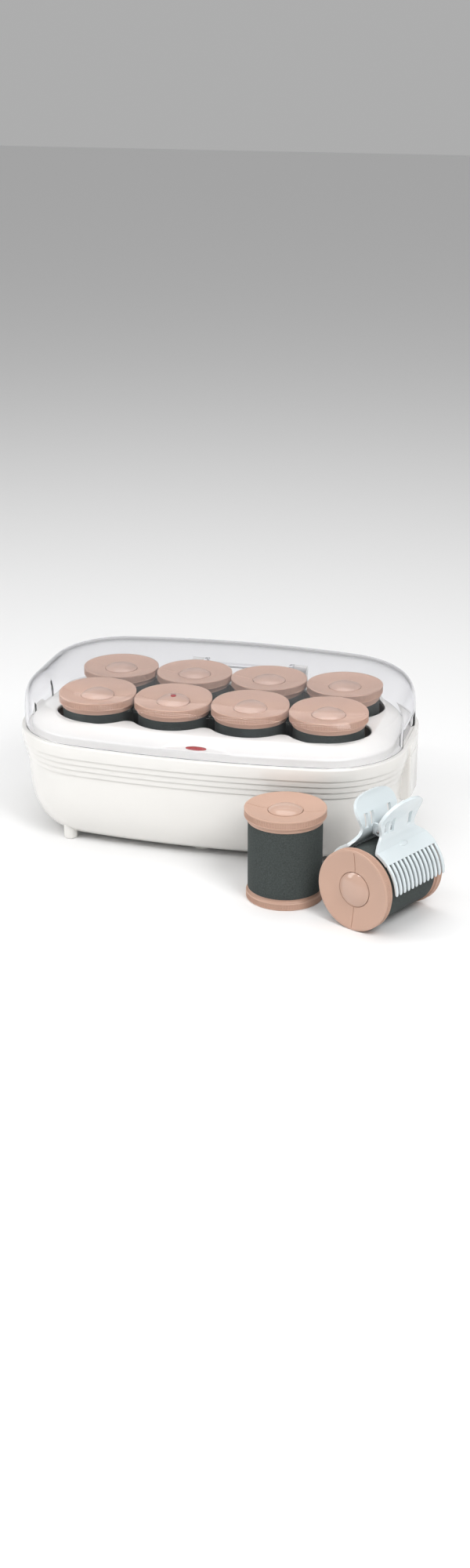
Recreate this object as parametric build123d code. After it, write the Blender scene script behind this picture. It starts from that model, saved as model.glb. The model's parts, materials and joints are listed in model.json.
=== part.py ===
from build123d import *
import os
from math import cos, hypot, radians, sin, sqrt

# A heated hair roller set: a case with a hinged clear lid, eight rollers on heating posts
# inside it, one loose roller standing beside it, and one lying with a claw clip on it.
# Millimetres, +Z up. X runs along the rows of rollers and -Y is the front of the case.
# Everything is placed about the middle of the grid of rollers, with the table at z = 0,
# and the whole set is moved at the end so that its box stands centred on the origin.

# ---- fits ----
seat_gap = 0.3          # between pieces of different bodies that do not slide on each other
pin_gap = 0.05          # radial, hinge pin in its hole
post_gap = 1.2          # radial, heating post inside a roller's bore
trim_gap = 0.15         # around pieces let into a recess
stand_gap = 0.2         # under the rollers in the case
overcut = 1.0           # how far a cutting or joining solid runs past the face it meets

# ---- roller ----
roller_length = 65.0
core_radius = 17.0
core_wall = 1.6
core_socket = 3.0
filling = 2.4           # between the core and the spigots of the cap and the ring
spigot_height = 4.0
spigot_wall = 2.0
sleeve_wall = 2.3
cap_overhang = 2.55     # beyond the sleeve, as are the next three
cap_neck_overhang = 0.55
ring_overhang = 1.15
ring_neck_overhang = -0.85
cap_rim_height = 5.8
cap_rim_land = 1.5
cap_dish = 2.0
cap_neck_height = 3.2
cap_seam_width = 0.5
cap_seam_depth = 0.4
ring_height = 5.1
ring_neck_height = 2.4
dome_radius = 11.8
dome_rise = 1.2
dome_seat = 2.5
dome_edge_drop = 0.2
dot_radius = 2.0
dot_height = 2.4
dot_rise = 0.7
dot_round = 0.42

# ---- grid of rollers in the case ----
columns = 4
rows = 2
roller_spacing = 1.0    # between the caps of neighbours
roller_floor = 37.0
dot_column = 2

# ---- plan of the case, at the edge of the lid ----
case_centre_y = -4.8
end_margin = 24.2       # from the end wells to the plan's edge
side_margin = 25.0      # from the front and back wells to the plan's edge
front_bow = 700.0
end_bow = 1500.0
corner_radius = 57.0

# ---- housing ----
cap_show = 23.2         # how far the caps stand above the rim
band_out = 2.5
band_height = 8.7
step_height = 4.57
step_in = 1.175
steps = 3
tub_bottom_z = 1.1
tub_lap = 4.91          # how far the tub's top edge runs up inside the lowest step
tub_run = 40.6
tub_power = 3.0
tub_shares = (0.08, 0.35, 0.55, 0.70, 0.82, 0.90, 0.955, 0.985, 1.0)
housing_wall = 2.5
tub_floor = 4.5
deck_seat_depth = 2.6
deck_ledge = 1.2
boss_radius = 5.0
boss_inset_x = 33.0     # from the heating plate's edge
boss_inset_y = 34.0
spigot_radius = 3.5

# ---- base plate and its screws ----
plate_margin_x = 17.9   # from the edge of the tub's flat bottom
plate_margin_y = 8.7
plate_corner = 10.0
plate_thickness = 2.5
plate_ledge = 4.0
screw_radius = 1.5
screw_length = 8.0
screw_head_radius = 2.8
screw_head_height = 1.4
screw_recess = 0.1
screw_slot_width = 0.8
screw_slot_depth = 0.7
screw_boss_radius = 3.6
screw_boss_height = 6.0
screw_inset = 2.0
screw_edge = 1.0
screws_along = 3

# ---- feet ----
foot_radius = 5.0
foot_inset_x = 41.7     # from the plan's edge
foot_inset_y = 26.3
foot_height = 14.0
foot_round = 1.0
nub_length = 11.0
nub_width = 7.0
nub_inset = 30.0
nub_low_z = 0.2
nub_height = 6.0

# ---- deck ----
deck_flange = 2.3
deck_wall = 2.3
deck_edge_in = 6.1
deck_edge_shift = -2.3
deck_edge_rise = 5.2    # above the rim, as is the next one
deck_top_rise = 9.7
deck_crown_in = 22.5
deck_crown_shift = 3.15
well_gap = 2.0
well_cusp_radius = 7.5
scoop_radius = 35.6
scoop_inset = 16.7      # its back edge, from the front of the plan
scoop_floor_rise = 5.4
scoop_x = 2.0

# ---- indicator ----
lens_length = 15.0
lens_width = 6.5
lens_ahead = 6.9
lens_rise = 0.9
lens_round = 0.63
lens_depth = 1.6
lamp_radius = 2.2
lamp_length = 14.0

# ---- well liner and heater ----
liner_inset = 0.8
liner_wall = 1.5
liner_floor = 1.6
liner_hole_gap = 0.8
heat_plate_margin = 31.5    # beyond the axes of the outer posts
heat_plate_corner = 30.0
heat_plate_thickness = 2.0
post_wall = 1.5
post_round = 1.2
post_top_gap = 12.1     # from the post's top to the inside of the cap
element_radius = 2.0
element_inset = 25.0
element_loop_y = 14.0
element_bend = 9.0
thermostat_radius = 8.0
thermostat_height = 6.0
thermostat_x = 30.0
fuse_radius = 2.2
fuse_length = 16.0
fuse_x = -30.0
shield_thickness = 0.8
shield_drop = 8.0
shield_inset_x = 17.0
shield_inset_y = 12.0

# ---- mains inlet ----
gland_x = 60.0
gland_z = 34.0
gland_radius = 5.0
gland_flange_radius = 7.5
gland_flange = 1.8
gland_bore = 3.2
gland_length = 12.0
terminal_x = 35.0
terminal_y = 27.0
terminal_length = 22.0
terminal_depth = 8.0
terminal_height = 9.0
terminal_hole = 1.6

# ---- end panels ----
panel_width = 30.0
panel_out = 1.6
panel_low_z = 36.0
panel_reach = 20.0

# ---- lid ----
lid_wall = 2.2
head_room = 11.4        # from the caps' domes to the inside of the lid
lid_run = 43.0
lid_power = 4.5
lid_shares = (0.0, 0.37, 0.58, 0.74, 0.85, 0.92, 0.96, 0.985, 0.995, 1.0)
grip_width = 48.0
grip_height = 12.0
grip_depth = 2.2
grip_wall = 2.0

# ---- lid hinge ----
hinge_behind = 5.8      # the hinge line, from the back of the plan
hinge_rise = 12.7       # and above the rim
hinge_x = 40.0
barrel_length = 10.0
barrel_radius = 2.9
hinge_pin_radius = 1.3
hinge_pin_proud = 0.8
ear_thickness = 2.4
ear_radius = 3.2
ear_root = 4.5
ear_sink = 2.0
brace_depth = 6.0
brace_thickness = 2.4
brace_lap = 0.5
bracket_back = 3.2
bracket_front = 2.6
bracket_web = 9.4
bracket_drop = 8.3      # below the rim

# ---- loose rollers ----
standing_x = 76.0
standing_gap = 2.2      # from the front of the case
lying_gap = 13.2        # from the standing roller's cap to the lying one's
lying_bearing = -37.367     # degrees from +X, from the standing roller to the lying one's cap
lying_heading = 64.4    # degrees from +X, from the lying roller's cap to its base ring

# ---- claw clip ----
clip_gap = 1.85         # from the sleeve to the teeth
clip_tooth_depth = 2.4
tooth_pitch = 4.4
tooth_width = 2.4
tooth_root_angle = 45.0
tooth_tip_angle = 2.0
tooth_tip_drop = 1.1
tooth_lap_angle = 1.0
comb_inset = 1.0        # from the ring's end of the roller
band_top_angle = 74.0
band_shoulder_angle = 67.0
band_thickness = 2.4
clip_pin_rise = 6.2     # the pin, above the inside of the band
clip_pin_radius = 1.25
clip_pin_length = 22.0
waist_half = 9.0
waist_rise = 4.5        # above the pin
grip_half = 16.0
grip_rise = 23.5        # above the pin
grip_span = 43.0
grip_corner = 14.0
clip_wall = 2.2
shoulder_rise = 2.7     # above the inside of the band
slot_places = (-12.0, 7.0, 13.5)
slot_rise = 2.5         # above the pin
slot_width = 4.0
slot_height = 9.0
lug_thickness = 2.0
lug_radius = 3.4
lug_outer_x = 8.6
lug_inner_x = 6.2
lug_sink = 0.6
lug_root_below = 5.0
lug_root_above = 3.0
spring_radius = 2.6
wire_radius = 0.45
spring_turns = 5
spring_pitch = 1.1

# ---- sizes and places worked out from those above ----
spigot = core_radius + core_wall + filling + spigot_wall
sleeve_radius = spigot + trim_gap + sleeve_wall
cap_radius = sleeve_radius + cap_overhang
cap_neck_radius = sleeve_radius + cap_neck_overhang
ring_radius = sleeve_radius + ring_overhang
ring_neck_radius = sleeve_radius + ring_neck_overhang
sleeve_low = ring_height + ring_neck_height
sleeve_high = roller_length - cap_rim_height - cap_neck_height
dome_base = roller_length - cap_dish - dome_seat

pitch = 2 * cap_radius + roller_spacing
columns_x = [(i - (columns - 1) / 2) * pitch for i in range(columns)]
rows_y = {"front": -pitch / 2, "back": pitch / 2}
well_radius = cap_radius + well_gap
half_length = columns_x[-1] + well_radius + end_margin
half_depth = rows_y["back"] + well_radius + side_margin
front_y = case_centre_y - half_depth
back_y = case_centre_y + half_depth

rim_z = roller_floor + roller_length - cap_show
band_low_z = rim_z - band_height
step_low_z = band_low_z - steps * step_height
tub_out = band_out - (steps + 1) * step_in
tub_top_z = step_low_z + tub_lap
tub_rise = tub_top_z - tub_bottom_z
floor_top_z = tub_bottom_z + tub_floor
plate_length = 2 * (half_length + tub_out - tub_run - plate_margin_x)
plate_depth = 2 * (half_depth + tub_out - tub_run - plate_margin_y)
foot_x = half_length - foot_inset_x
foot_y = half_depth - foot_inset_y
nub_y = half_depth - nub_inset

deck_seat_z = rim_z - deck_seat_depth
deck_edge_z = rim_z + deck_edge_rise
deck_top_z = rim_z + deck_top_rise
scoop_floor_z = rim_z + scoop_floor_rise
scoop_back_y = front_y + scoop_inset
lens_y = scoop_back_y - lens_ahead
liner_top_z = deck_top_z - deck_wall
liner_low_z = roller_floor - stand_gap - liner_floor

heat_plate_z = liner_low_z - seat_gap - heat_plate_thickness
heat_plate_length = 2 * (columns_x[-1] + heat_plate_margin)
heat_plate_depth = 2 * (rows_y["back"] + heat_plate_margin)
post_radius = core_radius - post_gap
post_low_z = heat_plate_z + heat_plate_thickness
post_top_z = roller_floor + sleeve_high - post_top_gap
element_loop_x = heat_plate_length / 2 - element_inset
shield_z = heat_plate_z - shield_drop
shield_length = heat_plate_length - 2 * shield_inset_x
shield_depth = heat_plate_depth - 2 * shield_inset_y
boss_x = heat_plate_length / 2 - boss_inset_x
boss_y = heat_plate_depth / 2 - boss_inset_y

lid_low_z = rim_z + seat_gap
lid_top_z = roller_floor + roller_length + dome_rise + head_room + lid_wall
lid_rise = lid_top_z - lid_low_z
hinge_y = back_y + hinge_behind
hinge_z = rim_z + hinge_rise
hinge_point = (hinge_y, hinge_z)
outer_ear_x = hinge_x - barrel_length / 2 - seat_gap
bracket_low_z = rim_z - bracket_drop

standing_y = front_y - band_out - standing_gap - cap_radius
lying_spacing = 2 * cap_radius + lying_gap
lying_x = standing_x + lying_spacing * cos(radians(lying_bearing))
lying_y = standing_y + lying_spacing * sin(radians(lying_bearing))

comb_room = roller_length - cap_rim_height - 2 * comb_inset
teeth = 1 + int((comb_room - tooth_width) // tooth_pitch)
comb_length = (teeth - 1) * tooth_pitch + tooth_width
clip_along = comb_inset + comb_length / 2
clip_radius = sleeve_radius + clip_gap
shoulder_height = clip_radius + shoulder_rise
pin_height = clip_radius + clip_pin_rise
waist_height = pin_height + waist_rise
grip_top = pin_height + grip_rise
slot_low = pin_height + slot_rise


# ---- plan outline and shells ----

def bow_and_corner():
    """Centre of the corner arc that runs into both the long bow and the end bow."""
    far_y = half_depth - front_bow
    far_x = half_length - end_bow
    reach_long = front_bow - corner_radius
    reach_end = end_bow - corner_radius
    span = hypot(far_x, far_y)
    along = (reach_long**2 - reach_end**2 + span**2) / (2 * span)
    across = sqrt(reach_long**2 - along**2)
    unit_x = far_x / span
    unit_y = -far_y / span
    first = (along * unit_x + across * unit_y, far_y + along * unit_y - across * unit_x)
    second = (along * unit_x - across * unit_y, far_y + along * unit_y + across * unit_x)
    return max(first, second)


def plan(out, z, shift=0.0):
    """Face of the case's plan, grown by out, at height z."""
    cx, cy = bow_and_corner()
    long_reach = front_bow - corner_radius
    end_reach = end_bow - corner_radius
    long_x = cx / long_reach
    long_y = (cy - half_depth + front_bow) / long_reach
    end_x = (cx - half_length + end_bow) / end_reach
    end_y = cy / end_reach
    radius = corner_radius + out
    mid_x = long_x + end_x
    mid_y = long_y + end_y
    mid = hypot(mid_x, mid_y)
    long_end = (cx + radius * long_x, cy + radius * long_y)
    corner_mid = (cx + radius * mid_x / mid, cy + radius * mid_y / mid)
    end_end = (cx + radius * end_x, cy + radius * end_y)
    top = (0, half_depth + out)
    side = (half_length + out, 0)

    def flip(point, sx, sy):
        return (point[0] * sx, point[1] * sy)

    edges = [
        ThreePointArc(flip(long_end, -1, 1), top, long_end),
        ThreePointArc(long_end, corner_mid, end_end),
        ThreePointArc(end_end, side, flip(end_end, 1, -1)),
        ThreePointArc(flip(end_end, 1, -1), flip(corner_mid, 1, -1), flip(long_end, 1, -1)),
        ThreePointArc(flip(long_end, 1, -1), flip(top, 1, -1), flip(long_end, -1, -1)),
        ThreePointArc(flip(long_end, -1, -1), flip(corner_mid, -1, -1), flip(end_end, -1, -1)),
        ThreePointArc(flip(end_end, -1, -1), flip(side, -1, 1), flip(end_end, -1, 1)),
        ThreePointArc(flip(end_end, -1, 1), flip(corner_mid, -1, 1), flip(long_end, -1, 1)),
    ]
    return Pos(0, case_centre_y + shift, z) * make_face(edges)


def slab(out, low, high, shift=0.0):
    """Upright block of the case's plan."""
    return extrude(plan(out, low, shift), high - low)


def bowl(out, edge_z, rise, run, power, shares):
    """Solid whose side curves inwards by run while it goes rise up, or down where rise < 0."""
    sections = []
    for share in shares:
        inward = run * (1 - (1 - share**power) ** (1 / power))
        sections.append(plan(out - inward, edge_z + rise * share))
    return loft(sections, ruled=True)


def box_between(low, high):
    """Box from its low corner to its high corner."""
    size = [b - a for a, b in zip(low, high)]
    middle = [(a + b) / 2 for a, b in zip(low, high)]
    return Pos(*middle) * Box(*size)


def tube(outer, inner, low, high):
    """Upright tube."""
    return Pos(0, 0, low) * extrude(Circle(outer) - Circle(inner), high - low)


def disc(radius, low, high):
    """Upright cylinder."""
    return Pos(0, 0, low) * extrude(Circle(radius), high - low)


# ---- roller pieces, standing with the base ring on z = 0 ----

def roller_cap():
    dish_z = roller_length - cap_dish
    socket = dome_radius + trim_gap
    rim = cap_radius - cap_rim_land
    low = roller_length - cap_rim_height
    bottom = sleeve_high - spigot_height
    profile = Polyline(
        (0, dome_base), (socket, dome_base), (socket, dish_z), (rim, roller_length),
        (cap_radius, roller_length), (cap_radius, low), (cap_neck_radius, low),
        (cap_neck_radius, sleeve_high), (spigot, sleeve_high), (spigot, bottom),
        (spigot - spigot_wall, bottom), (spigot - spigot_wall, sleeve_high), (0, sleeve_high),
        (0, dome_base),
    )
    cap = revolve(Plane.XZ * make_face(Plane.XY * profile), Axis.Z)
    seam_length = 2 * rim
    seam = Pos(0, 0, roller_length) * Box(seam_length, cap_seam_width, 2 * cap_seam_depth)
    middle_length = 2 * (socket + overcut)
    seam += Pos(0, 0, dish_z) * Box(middle_length, cap_seam_width, 2 * cap_seam_depth)
    return cap - seam


def roller_dome(with_dot=False):
    edge_z = roller_length - cap_dish - dome_edge_drop
    rise = roller_length + dome_rise - edge_z
    ball = (dome_radius**2 + rise**2) / (2 * rise)
    peak = roller_length + dome_rise
    dome = Pos(0, 0, peak - ball) * Sphere(ball) & disc(dome_radius, dome_base, peak + overcut)
    if with_dot:
        dome -= disc(dot_radius + pin_gap, peak - dot_height + dot_rise, peak + overcut)
    return dome


def ready_dot():
    peak = roller_length + dome_rise
    dot = disc(dot_radius, peak - dot_height + dot_rise, peak + dot_rise)
    return fillet(dot.edges().group_by(Axis.Z)[-1], dot_round)


def roller_sleeve():
    return tube(sleeve_radius, sleeve_radius - sleeve_wall, sleeve_low, sleeve_high)


def roller_core():
    return tube(core_radius + core_wall, core_radius, ring_height - core_socket, sleeve_high)


def roller_ring():
    ring = tube(ring_radius, core_radius, 0, ring_height)
    ring += tube(ring_neck_radius, core_radius, ring_height, sleeve_low)
    ring += tube(spigot, core_radius, sleeve_low, sleeve_low + spigot_height)
    socket_low = ring_height - core_socket
    return ring - disc(core_radius + core_wall, socket_low, sleeve_low + spigot_height)


# ---- case pieces ----

def tub_outside():
    return bowl(tub_out, tub_top_z, -tub_rise, tub_run, tub_power, tub_shares)


def case_outside():
    body = slab(band_out, band_low_z, rim_z)
    for step in range(steps):
        high = band_low_z - step * step_height
        body += slab(band_out - (step + 1) * step_in, high - step_height, high)
    return body + tub_outside()


def case_inside():
    recess = slab(-seat_gap, deck_seat_z, rim_z)
    neck = slab(-seat_gap - deck_ledge, band_low_z, deck_seat_z)
    waist = slab(band_out - steps * step_in - housing_wall, step_low_z, band_low_z)
    rise = tub_rise - tub_floor
    bowl_in = bowl(tub_out - housing_wall, tub_top_z, -rise, tub_run, tub_power, tub_shares)
    return recess + neck + waist + bowl_in


def rounded_block(length, depth, corner, low, high):
    """Upright block with rounded corners, centred in the case."""
    face = RectangleRounded(length, depth, corner)
    return Pos(0, case_centre_y, low) * extrude(face, high - low)


def screw_places():
    """Centres of the base plate's screws."""
    reach_x = plate_length / 2 - plate_ledge - screw_inset - screw_head_radius
    reach_y = plate_depth / 2 - screw_head_radius - screw_edge
    half = (screws_along - 1) / 2
    spots = []
    for side in (-1, 1):
        for k in range(screws_along):
            spots.append((reach_x * (k - half) / half, case_centre_y + side * reach_y))
    return spots


def boss_places():
    """Centres of the four pillars that carry the heating plate."""
    return [(sx * boss_x, case_centre_y + sy * boss_y) for sx in (-1, 1) for sy in (-1, 1)]


def housing():
    shell = case_outside() - case_inside()
    plate_top = tub_bottom_z + plate_thickness
    shell -= rounded_block(plate_length + 2 * trim_gap, plate_depth + 2 * trim_gap,
                           plate_corner + trim_gap, 0, plate_top)
    window_length = plate_length - 2 * plate_ledge
    window_depth = plate_depth - 4 * screw_head_radius
    shell -= rounded_block(window_length, window_depth, plate_corner, 0, floor_top_z + overcut)
    for x, y in screw_places():
        boss = disc(screw_boss_radius, plate_top, floor_top_z + screw_boss_height)
        shell += Pos(x, y, 0) * boss
    for x, y in screw_places():
        shell -= Pos(x, y, 0) * disc(screw_radius, 0, plate_top + screw_length)
    for x, y in boss_places():
        shell += Pos(x, y, 0) * disc(boss_radius, floor_top_z - overcut, shield_z)
        shell += Pos(x, y, 0) * disc(spigot_radius, floor_top_z, heat_plate_z)
    gland_place = Pos(gland_x, back_wall_y(), gland_z) * Rot(90, 0, 0)
    return shell - gland_place * Cylinder(gland_radius, 2 * gland_length)


def base_plate():
    plate = rounded_block(plate_length, plate_depth, plate_corner,
                          tub_bottom_z, tub_bottom_z + plate_thickness)
    for x, y in screw_places():
        hole = disc(screw_radius + trim_gap, 0, tub_bottom_z + plate_thickness + overcut)
        sink = disc(screw_head_radius + trim_gap, 0, tub_bottom_z + screw_head_height)
        plate -= Pos(x, y, 0) * (hole + sink)
    return plate


def base_screws():
    low = tub_bottom_z + screw_recess
    screw = disc(screw_head_radius, low, tub_bottom_z + screw_head_height)
    screw += disc(screw_radius, low, tub_bottom_z + screw_length)
    slot = Box(2 * screw_head_radius + overcut, screw_slot_width, 2 * screw_slot_depth)
    screw -= Pos(0, 0, low) * slot
    return [Pos(x, y, 0) * screw for x, y in screw_places()]


def feet():
    below = tub_outside()
    posts = []
    for sx in (-1, 1):
        for sy in (-1, 1):
            post = disc(foot_radius, 0, foot_height)
            post = fillet(post.edges().group_by(Axis.Z)[0], foot_round)
            posts.append(Pos(sx * foot_x, case_centre_y + sy * foot_y, 0) * post - below)
    return posts


def front_nub():
    face = Ellipse(nub_length / 2, nub_width / 2)
    nub = Pos(0, case_centre_y - nub_y, nub_low_z) * extrude(face, nub_height)
    return nub - tub_outside()


def well_opening(grow):
    """Scalloped outline of the roller well, grown by grow."""
    radius = well_radius + grow
    outline = Rectangle((columns - 1) * pitch, (rows - 1) * pitch)
    for x in columns_x:
        for y in rows_y.values():
            outline += Pos(x, y) * Circle(radius)
    cusp = sqrt(radius**2 - (pitch / 2) ** 2)
    side_y = rows_y["back"] + cusp
    end_x = columns_x[-1] + cusp
    cusps = [v for v in outline.vertices()
             if abs(abs(v.Y) - side_y) < pin_gap or abs(abs(v.X) - end_x) < pin_gap]
    return fillet(cusps, well_cusp_radius - grow)


def deck_hollow():
    """Space under the raised part of the deck."""
    inner = -deck_edge_in - deck_wall
    low_z = deck_edge_z - deck_wall
    hollow = slab(inner, deck_seat_z, low_z, deck_edge_shift)
    crown = loft([plan(inner, low_z, deck_edge_shift),
                  plan(-deck_crown_in, deck_top_z - deck_wall, deck_crown_shift)], ruled=True)
    return hollow + crown


def deck():
    flange = slab(-2 * seat_gap, deck_seat_z, deck_seat_z + deck_flange)
    raised = slab(-deck_edge_in, deck_seat_z, deck_edge_z, deck_edge_shift)
    crown = loft([plan(-deck_edge_in, deck_edge_z, deck_edge_shift),
                  plan(-deck_crown_in, deck_top_z, deck_crown_shift)], ruled=True)
    body = flange + raised + crown - deck_hollow()
    body -= extrude(Pos(0, 0, deck_seat_z) * well_opening(0), deck_top_z)
    scoop_y = scoop_back_y - scoop_radius
    body -= Pos(scoop_x, scoop_y, 0) * disc(scoop_radius, scoop_floor_z, deck_top_z + overcut)
    slot = Ellipse(lens_length / 2 + pin_gap, lens_width / 2 + pin_gap)
    return body - Pos(scoop_x, lens_y, deck_seat_z) * extrude(slot, deck_top_z)


def indicator_lens():
    low = scoop_floor_z - lens_depth
    face = Pos(scoop_x, lens_y, low) * Ellipse(lens_length / 2, lens_width / 2)
    lens = extrude(face, lens_depth + lens_rise)
    return fillet(lens.edges().group_by(Axis.Z)[-1], lens_round)


def indicator_lamp():
    low = scoop_floor_z - lens_depth - seat_gap
    place = Pos(scoop_x, lens_y, low - lamp_radius)
    return place * Rot(0, 90, 0) * Cylinder(lamp_radius, lamp_length)


def well_liner():
    outer = well_opening(liner_inset + liner_wall)
    inner = well_opening(liner_inset)
    liner = extrude(Pos(0, 0, liner_low_z) * outer, liner_top_z - liner_low_z)
    floor_z = liner_low_z + liner_floor
    liner -= extrude(Pos(0, 0, floor_z) * inner, deck_top_z - floor_z)
    for x in columns_x:
        for y in rows_y.values():
            hole = disc(post_radius + liner_hole_gap, liner_low_z - overcut, floor_z + overcut)
            liner -= Pos(x, y, 0) * hole
    return liner & (slab(-seat_gap, liner_low_z, deck_seat_z) + deck_hollow())


def heating_plate():
    face = RectangleRounded(heat_plate_length, heat_plate_depth, heat_plate_corner)
    return Pos(0, 0, heat_plate_z) * extrude(face, heat_plate_thickness)


def heating_posts():
    post = tube(post_radius, post_radius - post_wall, post_low_z, post_top_z)
    post += disc(post_radius, post_top_z - post_wall, post_top_z)
    post = fillet(post.edges().group_by(Axis.Z)[-1], post_round)
    return [Pos(x, y, 0) * post for x in columns_x for y in rows_y.values()]


def heating_element():
    z = heat_plate_z - element_radius
    reach = element_loop_x
    path = FilletPolyline(
        (-reach, -element_loop_y, z), (reach, -element_loop_y, z),
        (reach, element_loop_y, z), (-reach, element_loop_y, z), radius=element_bend)
    start = Plane(origin=path @ 0, z_dir=path % 0)
    return sweep(start * Circle(element_radius), path)


def thermostat():
    low = heat_plate_z - thermostat_height
    return Pos(thermostat_x, 0, 0) * disc(thermostat_radius, low, heat_plate_z)


def thermal_fuse():
    place = Pos(fuse_x, 0, heat_plate_z - fuse_radius)
    return place * Rot(0, 90, 0) * Cylinder(fuse_radius, fuse_length)


def heat_shield():
    face = RectangleRounded(shield_length, shield_depth, heat_plate_corner)
    shield = Pos(0, case_centre_y, shield_z) * extrude(face, shield_thickness)
    for x, y in boss_places():
        shield -= Pos(x, y, 0) * disc(spigot_radius, shield_z - overcut, heat_plate_z)
    return shield


def back_wall_y():
    """Outside of the tub at the height of the mains inlet, at its place along the back."""
    share = (tub_top_z - gland_z) / tub_rise
    inward = tub_run * (1 - (1 - share**tub_power) ** (1 / tub_power))
    sag = front_bow - sqrt(front_bow**2 - gland_x**2)
    return back_y + tub_out - inward - sag


def cord_gland():
    wall_y = back_wall_y()
    place = Pos(gland_x, 0, gland_z) * Rot(-90, 0, 0)
    gland = place * disc(gland_flange_radius, wall_y, wall_y + gland_flange) - case_outside()
    gland += place * disc(gland_radius, wall_y - gland_length / 2, wall_y + gland_flange)
    return gland - place * disc(gland_bore, wall_y - gland_length, wall_y + gland_length)


def terminal_block():
    low = (terminal_x - terminal_length / 2, terminal_y - terminal_depth / 2, floor_top_z)
    high = (terminal_x + terminal_length / 2, terminal_y + terminal_depth / 2,
            floor_top_z + terminal_height)
    block = box_between(low, high)
    hole = Rot(90, 0, 0) * Cylinder(terminal_hole, 2 * terminal_depth)
    for k in (-1, 1):
        x = terminal_x + k * terminal_length / 4
        block -= Pos(x, terminal_y, floor_top_z + terminal_height / 2) * hole
    return block


def end_panels():
    ring = slab(band_out + panel_out, panel_low_z, rim_z - seat_gap)
    low_y = case_centre_y - panel_width / 2
    high_y = case_centre_y + panel_width / 2
    solid = case_outside()
    panels = []
    for side in (-1, 1):
        near = side * (half_length - panel_reach)
        far = side * (half_length + panel_reach)
        window = box_between((min(near, far), low_y, 0), (max(near, far), high_y, rim_z))
        panels.append((ring & window) - solid)
    return panels


# ---- lid and hinge ----

def lid():
    outer = bowl(0, lid_low_z, lid_rise, lid_run, lid_power, lid_shares)
    inner = bowl(-lid_wall, lid_low_z, lid_rise - lid_wall, lid_run, lid_power, lid_shares)
    grip_high = lid_low_z + grip_height
    shell = outer - inner
    for side in (-1, 1):
        back = half_length - grip_depth - grip_wall
        spans = sorted((side * back, side * (half_length + overcut)))
        low_y = case_centre_y - grip_width / 2
        high_y = case_centre_y + grip_width / 2
        block = box_between((spans[0], low_y - grip_wall, lid_low_z),
                            (spans[1], high_y + grip_wall, grip_high + grip_wall))
        shell += block & outer
        spans = sorted((side * (half_length - grip_depth), side * (half_length + overcut)))
        shell -= box_between((spans[0], low_y, lid_low_z - overcut),
                             (spans[1], high_y, grip_high))
    return shell + lid_ears(inner)


def lid_ears(inner):
    """The two ears that hang on the hinge pins, and the brace between them."""
    inner_x = outer_ear_x - ear_thickness
    wall_y = back_y - lid_wall
    root_y = wall_y - ear_sink
    parts = None
    for side in (-1, 1):
        low_x = min(side * inner_x, side * outer_ear_x)
        profile = make_face(Polyline(
            (root_y, hinge_z - ear_root), (hinge_y, hinge_z - ear_radius),
            (hinge_y, hinge_z + ear_radius), (root_y, hinge_z + ear_root),
            (root_y, hinge_z - ear_root)))
        profile += Pos(*hinge_point) * Circle(ear_radius)
        profile -= Pos(*hinge_point) * Circle(hinge_pin_radius + pin_gap)
        ear = extrude(Plane(origin=(low_x, 0, 0), x_dir=(0, 1, 0), z_dir=(1, 0, 0)) * profile,
                      ear_thickness)
        parts = ear if parts is None else parts + ear
    reach = inner_x + brace_lap
    low = (-reach, wall_y, hinge_z - brace_thickness / 2)
    high = (reach, wall_y + brace_depth, hinge_z + brace_thickness / 2)
    parts += box_between(low, high)
    return parts - inner


def hinge_brackets():
    band = case_outside()
    brackets = []
    for side in (-1, 1):
        middle = side * hinge_x
        low = (middle - barrel_length / 2, hinge_y - bracket_front, bracket_low_z)
        high = (middle + barrel_length / 2, hinge_y + bracket_back, hinge_z)
        block = box_between(low, high)
        web_low = (low[0], hinge_y - bracket_front - bracket_web, bracket_low_z)
        web_high = (high[0], hinge_y - bracket_front, rim_z - seat_gap)
        block += box_between(web_low, web_high)
        barrel = Pos(middle, *hinge_point) * Rot(0, 90, 0)
        block += barrel * Cylinder(barrel_radius, barrel_length)
        block -= barrel * Cylinder(hinge_pin_radius, barrel_length + 2 * overcut)
        brackets.append(block - band)
    return brackets


def hinge_pins():
    inner_x = outer_ear_x - ear_thickness - hinge_pin_proud
    length = hinge_x + barrel_length / 2 - inner_x
    pin = Rot(0, 90, 0) * Cylinder(hinge_pin_radius, length)
    return [Pos(side * (inner_x + length / 2), *hinge_point) * pin for side in (-1, 1)]


# ---- claw clip, about the roller's axis: x along it, y across, z away from the table ----

def clip_arc(radius, angle):
    """Point at an angle above the level, on the +y side."""
    return (radius * cos(radians(angle)), radius * sin(radians(angle)))


def jaw_section():
    """Cross-section of the solid band, waist and thumb grip of the +y jaw."""
    inner = clip_radius
    outer = clip_radius + band_thickness
    low_in = clip_arc(inner, tooth_root_angle)
    low_out = clip_arc(outer, tooth_root_angle)
    top_in = clip_arc(inner, band_top_angle)
    inner_mid = clip_arc(inner, (tooth_root_angle + band_top_angle) / 2)
    outer_mid = clip_arc(outer, (tooth_root_angle + band_shoulder_angle) / 2)
    shoulder = clip_arc(outer, band_shoulder_angle)
    waist_in = (waist_half - clip_wall, waist_height)
    waist_out = (waist_half, waist_height)
    top_out = (grip_half, grip_top)
    edges = ThreePointArc(low_in, inner_mid, top_in)
    edges += Line(top_in, waist_in)
    edges += Line(waist_in, (grip_half - clip_wall, grip_top))
    edges += Line((grip_half - clip_wall, grip_top), top_out)
    edges += Line(top_out, waist_out)
    edges += Line(waist_out, shoulder)
    edges += ThreePointArc(shoulder, outer_mid, low_out)
    edges += Line(low_out, low_in)
    return make_face(edges)


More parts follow.
